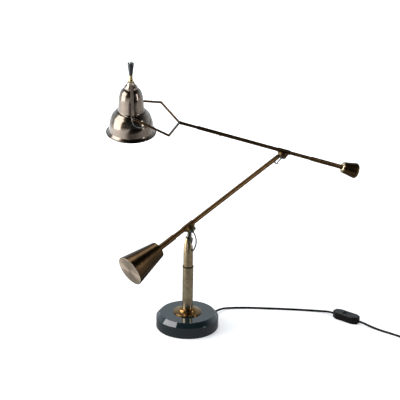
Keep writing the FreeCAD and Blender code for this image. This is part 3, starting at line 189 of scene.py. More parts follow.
def making_marks(tree, local, making, mark_mm):
    """Noise from 0 to 1 that follows how the piece was made."""
    fine = 1 / (mark_mm * MM)
    if making == "drawn":
        where = node(tree, "Mapping", {
            "Vector": local, "Scale": (ALONG_STRETCH, fine, fine),
        }).outputs["Vector"]
    elif making == "drawn_up":
        where = node(tree, "Mapping", {
            "Vector": local, "Scale": (fine, fine, ALONG_STRETCH),
        }).outputs["Vector"]
    else:
        flat = node(tree, "VectorMath", {0: local, 1: (1, 1, 0)}, operation="MULTIPLY")
        reach = node(tree, "VectorMath", {0: flat.outputs[0]}, operation="LENGTH")
        height = node(tree, "SeparateXYZ", {0: local}).outputs["Z"]
        rings = node(tree, "CombineXYZ", {
            "X": reach.outputs["Value"], "Y": height,
        }).outputs["Vector"]
        where = node(tree, "VectorMath", {0: rings, "Scale": fine},
                     operation="SCALE").outputs[0]
    return node(tree, "TexNoise", {
        "Vector": where, "Scale": 1.0, "Detail": 3.0, "Roughness": 0.65,
    }).outputs["Fac"]


print("a drawn line is", round(1000 / ALONG_STRETCH), "mm long")

# %% [markdown]
# ## The shade's lining
# A spun shade is enamelled pale inside, to throw the light down.  The shade is one
# solid, so the lining is found by asking which faces look back at a point inside
# the shade.  It stops just inside the rolled lip.

# %% Lining of the shade
INSIDE_MIDDLE = (0, 0, -10 * MM)     # a point in the shade that its whole lining faces
ENAMEL_EDGE_MM = -57.0               # on the shade's own Z, where the lining stops


def lining_share(tree, local, place):
    """1 on the faces that look towards the middle of the shade, else 0."""
    out = node(tree, "VectorMath", {0: local, 1: INSIDE_MIDDLE}, operation="SUBTRACT")
    facing = node(tree, "Mapping", {
        "Vector": node(tree, "TexCoord").outputs["Normal"], "Rotation": place.to_euler(),
    }, vector_type="TEXTURE").outputs["Vector"]
    away = node(tree, "VectorMath", {0: out.outputs[0], 1: facing}, operation="DOT_PRODUCT")
    hidden = node(tree, "Math", {0: away.outputs["Value"], 1: 0.0},
                  operation="LESS_THAN").outputs[0]
    past_rim = above(tree, local, ENAMEL_EDGE_MM, ENAMEL_EDGE_MM + 0.5)
    return node(tree, "Math", {0: hidden, 1: past_rim}, operation="MULTIPLY").outputs[0]


print("lining from", ENAMEL_EDGE_MM, "mm up")

# %% [markdown]
# ## Patinated metals
# The lamp is brass and bronze that was darkened by hand.  The patina is thin where
# a cloth rubbed and thick in the lee of an edge, so its colour drifts over a few
# centimetres, and it is darkest along the marks of the making.  Some pieces were
# then lacquered, which lays a neutral shine over the brown one.

# %% Patinated metal
MARK_RELIEF = 0.06 * MM
LINING_ROUGHNESS = 0.4
LACQUER_ROUGHNESS = 0.1


def patina_colour(tree, local, marks, colours, drift_mm, tone):
    """Colour that drifts between bright and worn, and is dark along the marks."""
    bright, worn, dark = colours
    drift = node(tree, "TexNoise", {
        "Vector": local, "Scale": 1 / (drift_mm * MM), "Detail": 5.0, "Roughness": 0.6,
    }).outputs["Fac"]
    spread = node(tree, "MapRange", {
        "Value": drift, "From Min": 0.36, "From Max": 0.64,
    }).outputs["Result"]
    body = node(tree, "Mix", {
        0: spread, 6: linear(worn), 7: linear(bright),
    }, data_type="RGBA").outputs[2]
    streak = node(tree, "MapRange", {
        "Value": marks, "From Min": 0.42, "From Max": 0.78, "To Max": 0.55,
    }).outputs["Result"]
    colour = node(tree, "Mix", {
        0: streak, 6: body, 7: linear(dark),
    }, data_type="RGBA").outputs[2]
    if tone:
        low_mm, high_mm, second = tone
        colour = node(tree, "Mix", {
            0: above(tree, local, low_mm, high_mm), 6: colour, 7: linear(second),
        }, data_type="RGBA").outputs[2]
    return colour


def patinated(name, place, colours, rough, making, drift_mm=26.0, mark_mm=1.1,
              tone=None, brushed=0.0, lacquer=0.0, lacquer_ior=1.5, inside=None):
    """Metal whose patina drifts between (bright, worn, dark), marked by its making.

    A tone is another colour past a height on the piece's own Z: low, high, colour.
    """
    material, tree, shader = blank_finish(name)
    local = local_place(tree, place)
    marks = making_marks(tree, local, making, mark_mm)
    colour = patina_colour(tree, local, marks, colours, drift_mm, tone)
    polish = node(tree, "MapRange", {
        "Value": marks, "To Min": rough * 0.8, "To Max": rough * 1.25,
    }).outputs["Result"]
    shader.inputs["Metallic"].default_value = 1.0
    if inside:
        enamel = lining_share(tree, local, place)
        colour = node(tree, "Mix", {0: enamel, 6: colour, 7: linear(inside)},
                      data_type="RGBA").outputs[2]
        polish = node(tree, "Mix", {0: enamel, 2: polish, 3: LINING_ROUGHNESS},
                      data_type="FLOAT").outputs[0]
        bare = node(tree, "Math", {0: 1.0, 1: enamel}, operation="SUBTRACT").outputs[0]
        tree.links.new(bare, shader.inputs["Metallic"])
    tree.links.new(colour, shader.inputs["Base Color"])
    tree.links.new(polish, shader.inputs["Roughness"])
    relief = node(tree, "Bump", {
        "Height": marks, "Strength": 0.25, "Distance": MARK_RELIEF,
    }).outputs["Normal"]
    tree.links.new(relief, shader.inputs["Normal"])
    if brushed:
        shader.inputs["Anisotropic"].default_value = brushed
        tree.links.new(round_the_axis(tree, local, place), shader.inputs["Tangent"])
    shader.inputs["Coat Weight"].default_value = lacquer
    shader.inputs["Coat Roughness"].default_value = LACQUER_ROUGHNESS
    shader.inputs["Coat IOR"].default_value = lacquer_ior
    return material


print("patina ready")

# %% [markdown]
# ## Stem, arms and weights
# The stem is drawn brass gone pale and greenish, and its lines run upwards.  The
# arms are drawn bronze, nearly black-brown, so that only a thin glint runs along
# them.  The weights were turned from bar: their rings break the highlight up.

# %% Finishes of stem, arms and weights
# Drawn brass, aged: a pale satin with a long soft highlight.
aged_brass_stem = patinated(
    "aged_brass_stem", STEM, ("cdbd9c", "ab9a7c", "6a6450"), 0.25, "drawn_up", 18.0)
aged_brass_mast = patinated(
    "aged_brass_mast", STEM, ("cfbb9a", "ae9a75", "786a50"), 0.25, "drawn_up", 18.0)
# Turned bronze, polished again by hands: warm, with bright edges.
turned_bronze_flange = patinated(
    "turned_bronze_flange", STEM, ("a3804e", "80623b", "4a361f"), 0.22, "turned")
# Drawn bronze with a dark patina: brown, with a narrow glint.
drawn_bronze_lower = patinated(
    "drawn_bronze_lower", LOWER, ("5e482e", "4a3722", "261d13"), 0.27, "drawn")
drawn_bronze_upper = patinated(
    "drawn_bronze_upper", UPPER, ("705539", "55412b", "2f2418"), 0.26, "drawn")
# Turned bronze bar: dark, its highlight broken by fine rings.
turned_bronze_big = patinated(
    "turned_bronze_big", BIG_WEIGHT, ("57432c", "433322", "281f15"), 0.25, "turned",
    34.0, 0.9)
turned_bronze_small = patinated(
    "turned_bronze_small", SMALL_WEIGHT, ("6b5335", "523e27", "30251a"), 0.27, "turned",
    18.0, 0.9)
# Faced brass: the cutter's rings turn the light into a fan, as on a record.
turned_brass_face = patinated(
    "turned_brass_face", BIG_WEIGHT, ("e6d4bf", "cdb8a1", "937d67"), 0.30, "turned",
    30.0, 1.5, brushed=0.85)
polished_brass_collar = patinated(
    "polished_brass_collar", SMALL_WEIGHT, ("d8cbb0", "b8a685", "8c7a5c"), 0.22, "turned",
    12.0)
print("stem, arms and weights:", len(bpy.data.materials), "finishes")

# %% [markdown]
# ## Hinges
# The knuckles are gunmetal, grey and soft in the light.  The drums above them are
# turned brass, painted the arm's dark brown where they meet it as painted shade.

# %% Finishes of the hinges
# Painted shade: each drum is the arm's dark brown on the side where the arm shades it.
ARM_SIDE_SHADE = (-5.2, -3.6, "4a3722")
# Turned gunmetal: a grey satin.
gunmetal_lower = patinated(
    "gunmetal_lower", LOWER, ("7c7a6e", "5a584e", "33322c"), 0.32, "turned", 10.0)
gunmetal_upper = patinated(
    "gunmetal_upper", UPPER, ("6f6c60", "4d4a41", "2d2b26"), 0.32, "turned", 10.0)
# Turned brass and bronze, painted the arm's dark brown towards the arm as painted shade.
hinge_brass_lower = patinated(
    "hinge_brass_lower", LOWER, ("b08a50", "866537", "46351f"), 0.25, "turned", 9.0,
    tone=ARM_SIDE_SHADE)
hinge_bronze_upper = patinated(
    "hinge_bronze_upper", UPPER, ("6a5033", "463422", "291f16"), 0.28, "turned", 9.0,
    tone=ARM_SIDE_SHADE)
# Dark turned bronze for the ring on the stem and the pivots' heads.
dark_bronze_ring = patinated(
    "dark_bronze_ring", STEM, ("4a3a28", "35291c", "201911"), 0.28, "turned", 9.0)
# Turned steel, left bare: cool grey, with small sharp glints.
turned_steel = patinated(
    "turned_steel", STEM, ("b9b7b2", "94928c", "5f5d58"), 0.28, "turned", 8.0)
print("with hinges:", len(bpy.data.materials), "finishes")

# %% [markdown]
# ## Shade, fork and finial
# The shade is spun bronze under a thick lacquer: the metal gives the brown, the
# lacquer a white shine on top of it.  The rolled lip's near black is a painted reflection.
# The bail is rolled bar, pale as a painted highlight, and the fork is drawn rod bent by hand.

# %% Finishes of shade, fork and finial
# Painted reflection: the rolled lip is coloured near black for the dark room it mirrors.
RIM_PAINTED_REFLECTION = (-59.6, -60.6, "2b1b10")
# Spun and lacquered bronze: brown in the dark, neutral in the highlights.
spun_bronzed_shade = patinated(
    "spun_bronzed_shade", SHADE, ("7b6a57", "614f3d", "43352a"), 0.22, "spun", 38.0, 1.6,
    tone=RIM_PAINTED_REFLECTION, lacquer=1.0, lacquer_ior=1.85, inside="e4ded2")
spun_bronzed_cap = patinated(
    "spun_bronzed_cap", SHADE, ("94836e", "786650", "4d3d2c"), 0.20, "spun", 12.0,
    lacquer=1.0, lacquer_ior=1.85)
# Drawn rod, bent: dark, with a broken glint.
bent_bronze_rod = patinated(
    "bent_bronze_rod", FORK, ("5a442f", "413020", "271d14"), 0.30, "drawn", 24.0)
# Rolled bar, dull, coloured pale as a painted highlight along it.
rolled_bronze_bail = patinated(
    "rolled_bronze_bail", SHADE, ("e2d1c2", "c4b1a1", "8f7c6c"), 0.42, "drawn_up", 24.0)
# Turned brass and aluminium of the finial: small and bright.
turned_brass_neck = patinated(
    "turned_brass_neck", SHADE, ("cfc09a", "ae9a70", "6d5c3c"), 0.22, "turned", 12.0)
turned_aluminium_tip = patinated(
    "turned_aluminium_tip", SHADE, ("b4b7b6", "949897", "6b6f6e"), 0.28, "turned", 8.0)
# Nickel plate on the bulb's cap and the plug's pins: nearly a mirror.
nickel_plate = patinated(
    "nickel_plate", STEM, ("d6d3cc", "c2beb4", "a29d92"), 0.14, "turned", 14.0)
print("patinated metals:", len(bpy.data.materials))

# %% [markdown]
# ## Lacquer, rubber and moulded plastic
# The base is iron under a thick stoved lacquer: black, almost mirror smooth, with
# the faint orange peel that lacquer keeps.  The cord's sheath is soft vinyl and
# only half glossy.  Moulded parts have a fine spark-eroded grain.

# %% Coated and moulded finishes
DRIFT_MM = 25.0          # how far apart the cloudy changes of a coat lie


def coated(name, colour, second, rough, grain_mm, relief_mm, ior=1.5, gloss=0.5):
    """Paint, plastic or rubber: two near colours, a fine grain and its relief."""
    material, tree, shader = blank_finish(name)
    local = local_place(tree, STEM)
    grain = node(tree, "TexNoise", {
        "Vector": local, "Scale": 1 / (grain_mm * MM), "Detail": 2.0,
    }).outputs["Fac"]
    drift = node(tree, "TexNoise", {
        "Vector": local, "Scale": 1 / (DRIFT_MM * MM), "Detail": 4.0,
    }).outputs["Fac"]
    tint = node(tree, "Mix", {
        0: drift, 6: linear(colour), 7: linear(second),
    }, data_type="RGBA").outputs[2]
    tree.links.new(tint, shader.inputs["Base Color"])
    sheen = node(tree, "MapRange", {
        "Value": grain, "To Min": rough * 0.85, "To Max": rough * 1.15,
    }).outputs["Result"]
    tree.links.new(sheen, shader.inputs["Roughness"])
    relief = node(tree, "Bump", {
        "Height": grain, "Strength": 0.4, "Distance": relief_mm * MM,
    }).outputs["Normal"]
    tree.links.new(relief, shader.inputs["Normal"])
    shader.inputs["IOR"].default_value = ior
    shader.inputs["Specular IOR Level"].default_value = gloss
    return material


# Stoved lacquer on iron: black, wet-looking, with a faint orange peel.
stoved_black_lacquer = coated("stoved_black_lacquer", "131e21", "1c292c", 0.06, 1.6, 0.004, 1.68)
# Wool felt: no shine at all.
wool_felt = coated("wool_felt", "1c1d1e", "2b2c2d", 0.95, 0.5, 0.25)
# Sand-cast iron: grey and gritty.
raw_cast_iron = coated("raw_cast_iron", "45454a", "2f3034", 0.65, 1.2, 0.12)
# Extruded vinyl: the mains cord is dull, the thin flex glossy.
vinyl_sheath = coated("vinyl_sheath", "050505", "090909", 0.42, 0.7, 0.02, 1.4, gloss=0.2)
flex_sheath = coated("flex_sheath", "030304", "070809", 0.12, 0.7, 0.006, 1.7)
# Moulded rubber of grommets and strain relief: dark and matt.
grommet_rubber = coated("grommet_rubber", "1b1b1b", "2a2a2a", 0.55, 0.6, 0.03)
# Moulded ABS of switch and plug: black, with a spark-eroded grain.
moulded_black = coated("moulded_black", "0d0c0b", "171412", 0.3, 0.5, 0.03, gloss=0.25)
# Pressed fibre of the washers: brown and dry.
moulded_fibre = coated("moulded_fibre", "2a221c", "3a2f26", 0.6, 0.5, 0.04)
# Moulded phenolic of the lamp holder: brown-black, half glossy.
phenolic_holder = coated("phenolic_holder", "181513", "241f1b", 0.28, 0.8, 0.01)
# Turned and buffed ebonite of the finial: green-black, like polished horn.
polished_ebonite = coated("polished_ebonite", "0e1618", "182224", 0.16, 1.5, 0.004, 1.6)
print("with coats and mouldings:", len(bpy.data.materials), "finishes")

# %% [markdown]
# ## Opal glass
# The bulb is a thin white envelope.  It scatters more light than it passes, so a
# little transmission over a white body reads as opal.

# %% Opal glass
CLOUD_MM = 1000 / 60
opal_glass, tree, shader = blank_finish("opal_glass")
cloud = node(tree, "TexNoise", {
    "Vector": local_place(tree, SHADE), "Scale": 1 / (CLOUD_MM * MM), "Detail": 2.0,
}).outputs["Fac"]
milk = node(tree, "Mix", {
    0: cloud, 6: linear("eceae4"), 7: linear("f7f6f2"),
}, data_type="RGBA").outputs[2]
tree.links.new(milk, shader.inputs["Base Color"])
shader.inputs["Roughness"].default_value = 0.12
shader.inputs["Transmission Weight"].default_value = 0.15
shader.inputs["IOR"].default_value = 1.5
print("opal glass, roughness", round(shader.inputs["Roughness"].default_value, 2))

# %% [markdown]
# ## Dressing the solids
# Most solids already have the right shape.  Each gets its finish by name.

# %% Finish by solid
FINISH = {
    "felt_pad": wool_felt, "base_disc": stoved_black_lacquer, "ballast_plate": raw_cast_iron,
    "base_flange": turned_bronze_flange, "stem_tube": aged_brass_stem,
    "stem_ring": dark_bronze_ring, "tie_rod": turned_steel, "tie_nut": turned_steel,
    "cord_gland": grommet_rubber, "mast": aged_brass_mast, "mast_grommet": grommet_rubber,
    "lower_pivot_pin": turned_steel, "lower_knuckle": gunmetal_lower,
    "lower_cup_lid": moulded_black, "lower_hub_saddle": hinge_brass_lower,
    "lower_hub_washer": moulded_fibre, "lower_hub_axle": turned_steel,
    "lower_hub_nut": turned_steel, "lower_arm_tube": drawn_bronze_lower,
    "lower_arm_head": drawn_bronze_lower, "arm_grommet": grommet_rubber,
    "upper_pivot_pin": turned_steel, "big_weight_shank": drawn_bronze_lower,
    "big_counterweight": turned_bronze_big, "big_weight_face": turned_brass_face,
    "upper_knuckle": gunmetal_upper, "upper_cup_lid": moulded_black,
    "upper_hub_saddle": hinge_bronze_upper, "upper_hub_washer": moulded_fibre,
    "upper_hub_axle": turned_steel, "upper_hub_nut": turned_steel,
    "upper_arm_tube": drawn_bronze_upper, "small_weight_shank": drawn_bronze_upper,
    "small_weight_collar": polished_brass_collar, "small_counterweight": turned_bronze_small,
    "fork_set_screw": turned_steel, "fork_shank": drawn_bronze_upper,
    "fork_frame": bent_bronze_rod, "pivot_screws": dark_bronze_ring, "bail": rolled_bronze_bail,
    "shade": spun_bronzed_shade, "shade_cap": spun_bronzed_cap,
    "finial_neck": turned_brass_neck, "finial_grip": polished_ebonite,
    "finial_tip": turned_aluminium_tip, "lamp_holder": phenolic_holder,
    "bulb_cap": nickel_plate, "bulb_glass": opal_glass, "switch_lower": moulded_black,
    "switch_upper": moulded_black, "switch_rocker": moulded_black, "plug_body": moulded_black,
    "plug_pins": nickel_plate,
}
for name, finish in FINISH.items():
    nodes[name].data.materials.clear()
    nodes[name].data.materials.append(finish)
print("dressed", len(FINISH), "of", len(nodes))

# %% [markdown]
# ## The mains cord
# One round vinyl cord, 5.5 mm thick, leaves the back of the base, lies on the
# table, passes through the hand switch and goes out of the picture.  What the
# picture does not show is put away as a flat coil with the plug beside it.

# %% Mains cord route
CORD_D = 5.5
COIL_PITCH = 6.1
COIL_INNER_R = 24.0
TURNS_IN = 3.0
TURNS_OUT = 3.25
COIL_AZIMUTH = -38.0
STEPS_A_TURN = 16
OUTER_R = COIL_INNER_R + COIL_PITCH * TURNS_IN


def level(azimuth):
    """Level unit vector at an azimuth in degrees."""
    return Vector((math.cos(math.radians(azimuth)), math.sin(math.radians(azimuth)), 0))


COIL_CENTRE = Vector((548.0, -62.5, 0)) + level(COIL_AZIMUTH + 90) * OUTER_R


def coil_point(turns):
    """Middle of the coiled cord: a spiral in, a climb, and a spiral out on top."""
    climb = min(max(turns * 2 + 0.5, 0), 1)
    height = CORD_D / 2 + COIL_PITCH * (3 * climb ** 2 - 2 * climb ** 3)
    way = level(COIL_AZIMUTH - 90 + (turns + TURNS_IN) * 360)
    return COIL_CENTRE + way * (COIL_INNER_R + COIL_PITCH * abs(turns)) + UP * height


TO_SWITCH = [
    (69.12, 71.57, 8.0), (78.15, 80.93, 8.0), (90.0, 99.0, 4.6),
    (112.0, 107.5, 2.9), (159.0, 110.0, 2.9), (212.0, 107.5, 2.9),
    (268.0, 104.5, 2.9), (318.0, 99.5, 2.9), (345.0, 93.5, 4.2),
    (362.37, 83.6, 7.5), (374.02, 74.16, 7.5),
]
TO_COIL = [
    (429.98, 28.84, 7.5), (440.86, 20.03, 7.5), (456.0, 9.5, 4.2),
    (479.0, -10.5, 2.9), (507.0, -30.0, 2.75), (529.95, -49.06, 2.75),
]
TO_PLUG = [
    (622.82, -38.73, 8.85), (632.68, -22.36, 7.35), (636.55, -8.96, 6.85),
    (635.57, 5.0, 6.85),
]
coil_steps = round((TURNS_IN + TURNS_OUT) * STEPS_A_TURN)
coil = [coil_point(-TURNS_IN + i / STEPS_A_TURN) for i in range(coil_steps + 1)]
cord_route = [Vector(p) * MM for p in TO_SWITCH + TO_COIL] + [p * MM for p in coil]
cord_route += [Vector(p) * MM for p in TO_PLUG]
print("cord route points", len(cord_route))

# %% [markdown]
# ## The mains cord's line
# A cord bends smoothly, so its line is a NURBS spline through the route above, and
# Blender's own bevel gives it thickness.  Before it has any, its length is measured.

# %% Mains cord
CORD_SIDES = 5           # Blender's bevel resolution: 4 + 2 x 5 sides round the cord


def smooth_line(name, points):
    """A smooth spline whose control points are the route's."""
    line = bpy.data.curves.new(name, "CURVE")
    line.dimensions = "3D"
    spline = line.splines.new("NURBS")
    spline.points.add(len(points) - 1)
    for place, point in zip(spline.points, points):
        place.co = (*point, 1.0)
    spline.order_u = 3
    spline.use_endpoint_u = True
    spline.resolution_u = 6
    made = bpy.data.objects.new(name, line)
    bpy.context.scene.collection.objects.link(made)
    return made


def line_points(line):
    """The points along a spline that has no thickness, as Blender works them out."""
    graph = bpy.context.evaluated_depsgraph_get()
    mesh = bpy.data.meshes.new_from_object(line.evaluated_get(graph))
    points = [vertex.co.copy() for vertex in mesh.vertices]
    bpy.data.meshes.remove(mesh)
    return points


def length_of(points):
    """Length of a run of points."""
    return sum((b - a).length for a, b in zip(points, points[1:]))


mains_cord = smooth_line("mains_cord", cord_route)
bpy.context.view_layer.update()
mains_length = length_of(line_points(mains_cord))
mains_cord.data.bevel_depth = CORD_D / 2 * MM
mains_cord.data.bevel_resolution = CORD_SIDES
mains_cord.data.use_fill_caps = True
mains_cord.data.materials.append(vinyl_sheath)
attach(mains_cord, "base")
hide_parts("cord_to_switch", "cord_to_coil", "cord_coil", "cord_to_plug")
print("mains cord length", round(mains_length, 3), "m")

# %% [markdown]
# ## The flex over the joints
# Where the flex crosses a joint it comes out in a short free loop.  Each loop is a
# tube swept along its spline.

# %% Flex loops
FLEX_D = 3.4
RING_SIDES = 16
LOOPS = [
    ("stem_flex", "stem_flex_loop", "lower_knuckle", "mast", [
        (10.74, 0.44, 252.79), (14.69, -1.44, 248.4), (18.8, -5.0, 237.0),
        (19.0, -9.5, 224.0), (14.17, -11.89, 212.0), (12.72, -10.67, 207.5),
        (9.35, -7.84, 207.5),
    ]),
    ("arm_flex", "arm_flex_loop", "upper_knuckle", "lower_arm", [
        (232.07, 208.94, 378.43), (230.41, 209.21, 373.51), (223.47, 204.94, 369.25),
        (221.24, 199.63, 363.6), (215.28, 193.82, 368.25), (214.03, 192.78, 372.34),
    ]),
    ("shade_flex", "shade_flex_loop", "shade", "fork", [
        (-140.71, 87.44, 505.64), (-140.72, 88.29, 500.71), (-137.66, 84.99, 495.56),
        (-131.12, 81.91, 491.97), (-118.33, 75.64, 491.03), (-113.57, 75.75, 494.18),
        (-111.93, 75.17, 498.86),
    ]),
]


def tube_along(name, points, diameter, finish):
    """A closed round tube round a run of points, with no twist along it."""
    mesh = bmesh.new()
    ahead = (points[1] - points[0]).normalized()
    side = ahead.orthogonal().normalized()
    rings = []
    for i, point in enumerate(points):
        before = points[max(i - 1, 0)]
        after = points[min(i + 1, len(points) - 1)]
        way = (after - before).normalized()
        side = (side - way * side.dot(way)).normalized()
        across = way.cross(side)
        ring = []
        for k in range(RING_SIDES):
            angle = 2 * math.pi * k / RING_SIDES
            out = side * math.cos(angle) + across * math.sin(angle)
            ring.append(mesh.verts.new(point + out * diameter / 2))
        rings.append(ring)
    for a, b in zip(rings, rings[1:]):
        for k in range(RING_SIDES):
            n = (k + 1) % RING_SIDES
            mesh.faces.new((a[k], a[n], b[n], b[k])).smooth = True
    mesh.faces.new(list(reversed(rings[0])))
    mesh.faces.new(rings[-1])
    return placed(name, mesh, finish)


def placed(name, mesh, finish):
    """Turn a bmesh into an object in the scene, with its finish."""
    bmesh.ops.recalc_face_normals(mesh, faces=mesh.faces)
    data = bpy.data.meshes.new(name)
    mesh.to_mesh(data)
    mesh.free()
    data.materials.append(finish)
    made = bpy.data.objects.new(name, data)
    bpy.context.scene.collection.objects.link(made)
    return made


for name, solid, first_body, last_body, route in LOOPS:
    line = smooth_line(name + "_line", [Vector(p) * MM for p in route])
    bpy.context.view_layer.update()
    points = line_points(line)
    bpy.data.objects.remove(line)
    loop = tube_along(name, points, FLEX_D * MM, flex_sheath)
    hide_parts(solid)
    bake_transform(loop)
    print(name, "length", round(length_of(points), 4), "m")

# %% [markdown]
# ## Turned and ribbed details
# Small round parts are one outline swung round an axis, as on a lathe: the ribs of
# the cord's strain relief and the grip rings of the lamp holder.  They are trim over
# solids that are already there, so each rides on its solid's body.

# %% Turned details
def lathe(name, place, outline, finish, sides):
    """A ring: a closed outline of (radius, height) in mm, swung round local Z."""
    mesh = bmesh.new()
    rings = []
    for k in range(sides):
        angle = 2 * math.pi * k / sides
        rings.append([mesh.verts.new(place @ (Vector((
            radius * math.cos(angle), radius * math.sin(angle), height)) * MM))
            for radius, height in outline])
    for k in range(sides):
        a, b = rings[k], rings[(k + 1) % sides]
        for i in range(len(outline)):
            j = (i + 1) % len(outline)
            mesh.faces.new((a[i], b[i], b[j], a[j])).smooth = True
    return placed(name, mesh, finish)


RIB_SHAPE = [(1.0, 0.0), (0.3, 0.16), (0.0, 0.38), (0.3, 0.6), (1.0, 0.76)]   # depth, height


def ribbed(inner, outer, tip_outer, start, pitch, count, rib):
    """Outline of a sleeve with half-round ribs, tapering from outer to tip_outer."""
    outline = [(inner, start)]
    for i in range(count):
        radius = outer + (tip_outer - outer) * i / (count - 1)
        foot = start + pitch * i
        outline += [(radius - rib * depth, foot + pitch * up) for depth, up in RIB_SHAPE]
    end = start + pitch * count
    return outline + [(tip_outer - rib, end), (inner, end)]


BASE_R = 77.5
GLAND_AZIMUTH = 46.0
GLAND_Z = 8.0
RELIEF_START = BASE_R + 1.5
HOLDER_FOOT = 6.3
RINGS_START = HOLDER_FOOT + 3.0
TURNED_DETAILS = [
    ("gland_ribs", turned((0, 0, GLAND_Z), ("Z", GLAND_AZIMUTH), ("Y", 90.0)),
     ribbed(3.2, 5.6, 4.3, RELIEF_START, 3.0, 6, 0.8), 40, grommet_rubber, "base", "black_rubber"),
    ("holder_rings", SHADE, ribbed(12.8, 14.2, 14.2, RINGS_START, 2.4, 9, 1.0), 56,
     phenolic_holder, "shade", "black_plastic"),
]
for name, place, outline, sides, finish, body, slot in TURNED_DETAILS:
    sleeve = lathe(name, place, outline, finish, sides)
    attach(sleeve, body)
    print(name, len(sleeve.data.polygons), "faces")

# %% [markdown]
# ## Slotted screws
# A screw head is a low dome with a real slot, so that light catches its two lips.
# Each half of the dome is a fan of rings that is held back from the slot, so the
# slot is open geometry and not a dark line.

# %% Slotted screws
DOME_RINGS = [(1.0, 0.0), (1.0, 0.45), (0.9, 0.75), (0.6, 0.95), (0.12, 1.0)]  # radius, height
HALF_STEPS = 18
SLOT_SHARE = 0.13        # half the slot's width, in head radii


def slotted_head(name, place, radius, height, finish):
    """A low dome on local Z = 0, in two halves with a slot between them."""
    mesh = bmesh.new()
    for side in (1, -1):
        rings = []
        for share, lift in DOME_RINGS:
            ring = []
            for k in range(HALF_STEPS + 1):
                angle = math.pi * k / HALF_STEPS
                x = radius * share * math.cos(angle)
                y = max(radius * share * math.sin(angle), radius * SLOT_SHARE)
                ring.append(mesh.verts.new(place @ (Vector((x, side * y, height * lift)) * MM)))
            rings.append(ring)
        for a, b in zip(rings, rings[1:]):
            for k in range(HALF_STEPS):
                mesh.faces.new((a[k], a[k + 1], b[k + 1], b[k])).smooth = True
            mesh.faces.new((a[0], b[0], b[-1], a[-1]))
        mesh.faces.new(rings[-1])
        mesh.faces.new(list(reversed(rings[0])))
    return placed(name, mesh, finish)


PIVOT_X = -412.0
PIVOT_FACE_Y = 56.8
SET_SCREW_X = -173.7
SET_SCREW_FACE_Z = -6.5
SCREWS = [
    ("front_pivot_head", FORK @ turned((PIVOT_X, -PIVOT_FACE_Y, 0), ("X", 90.0), ("Z", 35.0)),
     3.5, 1.1, "fork"),
    ("back_pivot_head", FORK @ turned((PIVOT_X, PIVOT_FACE_Y, 0), ("X", -90.0), ("Z", -20.0)),
     3.5, 1.1, "fork"),
    ("fork_screw_head",
     UPPER @ turned((SET_SCREW_X, 0, SET_SCREW_FACE_Z), ("X", 180.0), ("Z", 60.0)),
     2.4, 1.0, "upper_arm"),
]
for name, place, radius, height, body in SCREWS:
    head = slotted_head(name, place, radius, height, turned_steel)
    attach(head, body)
print("screw heads", len(SCREWS))

# %% [markdown]
# ## The rocker's ribs
# Three ribs across the raised side of the rocker give the thumb its grip.  They lie
# on its slope and ride on it.

# %% Ribs of the rocker
RIB_PLACES = (-5.2, -3.6, -2.0)
RIB_SIZE = (0.7, 8.4, 0.7)
RIB_EDGE_R = 0.2
SWITCH_TOP = 19.0
ROCKER_SLOPE = 0.325     # rise of the rocker's raised side, per mm along it
RIB_PROUD = 0.1
rib_mesh = bmesh.new()
for x in RIB_PLACES:
    top = SWITCH @ turned((x, 0, SWITCH_TOP - x * ROCKER_SLOPE + RIB_PROUD), ("Y", 18.0))
    size = Matrix.Diagonal((*(Vector(RIB_SIZE) * MM), 1.0))
    made = bmesh.ops.create_cube(rib_mesh, size=1.0, matrix=top @ size)
    edges = list({edge for vert in made["verts"] for edge in vert.link_edges})
    edges.sort(key=lambda edge: tuple(edge.verts[0].co + edge.verts[1].co))
    bmesh.ops.bevel(rib_mesh, geom=edges, offset=RIB_EDGE_R * MM, segments=2, affect="EDGES")
rocker_ribs = placed("rocker_ribs", rib_mesh, moulded_black)
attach(rocker_ribs, "rocker")
print("rocker ribs", len(RIB_PLACES))

# %% [markdown]
# ## The table
# The lamp stands on a white sheet that the camera sees as pure white, apart from
# the lamp's own shadow.  Metal sees the sheet too, a little dimmer, but not beyond
# its front edge, where the room is dark: that is the brown between the highlights.

# %% Table
FLOOR_HALF = 9.0
TABLE_FRONT = (-0.85, -0.4)          # where the sheet fades into the dark room, in y
TABLE_LEFT = (-0.25, -0.7)           # where it is open to the left softbox, in x
TABLE_IN_METAL = 0.7
SHADOW_ROOM = (0.35, 1.0)            # from full shadow to none, in metres from the lamp
LIFT = (0.40, 1.0)


def faded(tree, value, ends, out=(0.0, 1.0)):
    """A value taken from one pair of ends to another, with soft ends."""
    return node(tree, "MapRange", {
        "Value": value, "From Min": ends[0], "From Max": ends[1],
        "To Min": out[0], "To Max": out[1],
    }, interpolation_type="SMOOTHSTEP").outputs["Result"]


white_sweep, tree, shader = blank_finish("white_sweep")
shader.inputs["Roughness"].default_value = 0.9
shader.inputs["Specular IOR Level"].default_value = 0.0
rays = node(tree, "LightPath").outputs
place = node(tree, "TexCoord").outputs["Object"]
along = node(tree, "SeparateXYZ", {0: place}).outputs
front = faded(tree, along["Y"], TABLE_FRONT)
left = faded(tree, along["X"], TABLE_LEFT)
open_side = node(tree, "Math", {0: left, 1: front}, operation="MAXIMUM").outputs[0]
mirrored = node(tree, "Math", {
    0: rays["Is Glossy Ray"], 1: rays["Is Transmission Ray"],
}, operation="MAXIMUM").outputs[0]
dimmed = node(tree, "Math", {0: mirrored, 1: TABLE_IN_METAL}, operation="MULTIPLY").outputs[0]
in_metal = node(tree, "Math", {0: dimmed, 1: open_side}, operation="MULTIPLY").outputs[0]
seen = node(tree, "Math", {0: rays["Is Camera Ray"], 1: in_metal},
            operation="MAXIMUM").outputs[0]
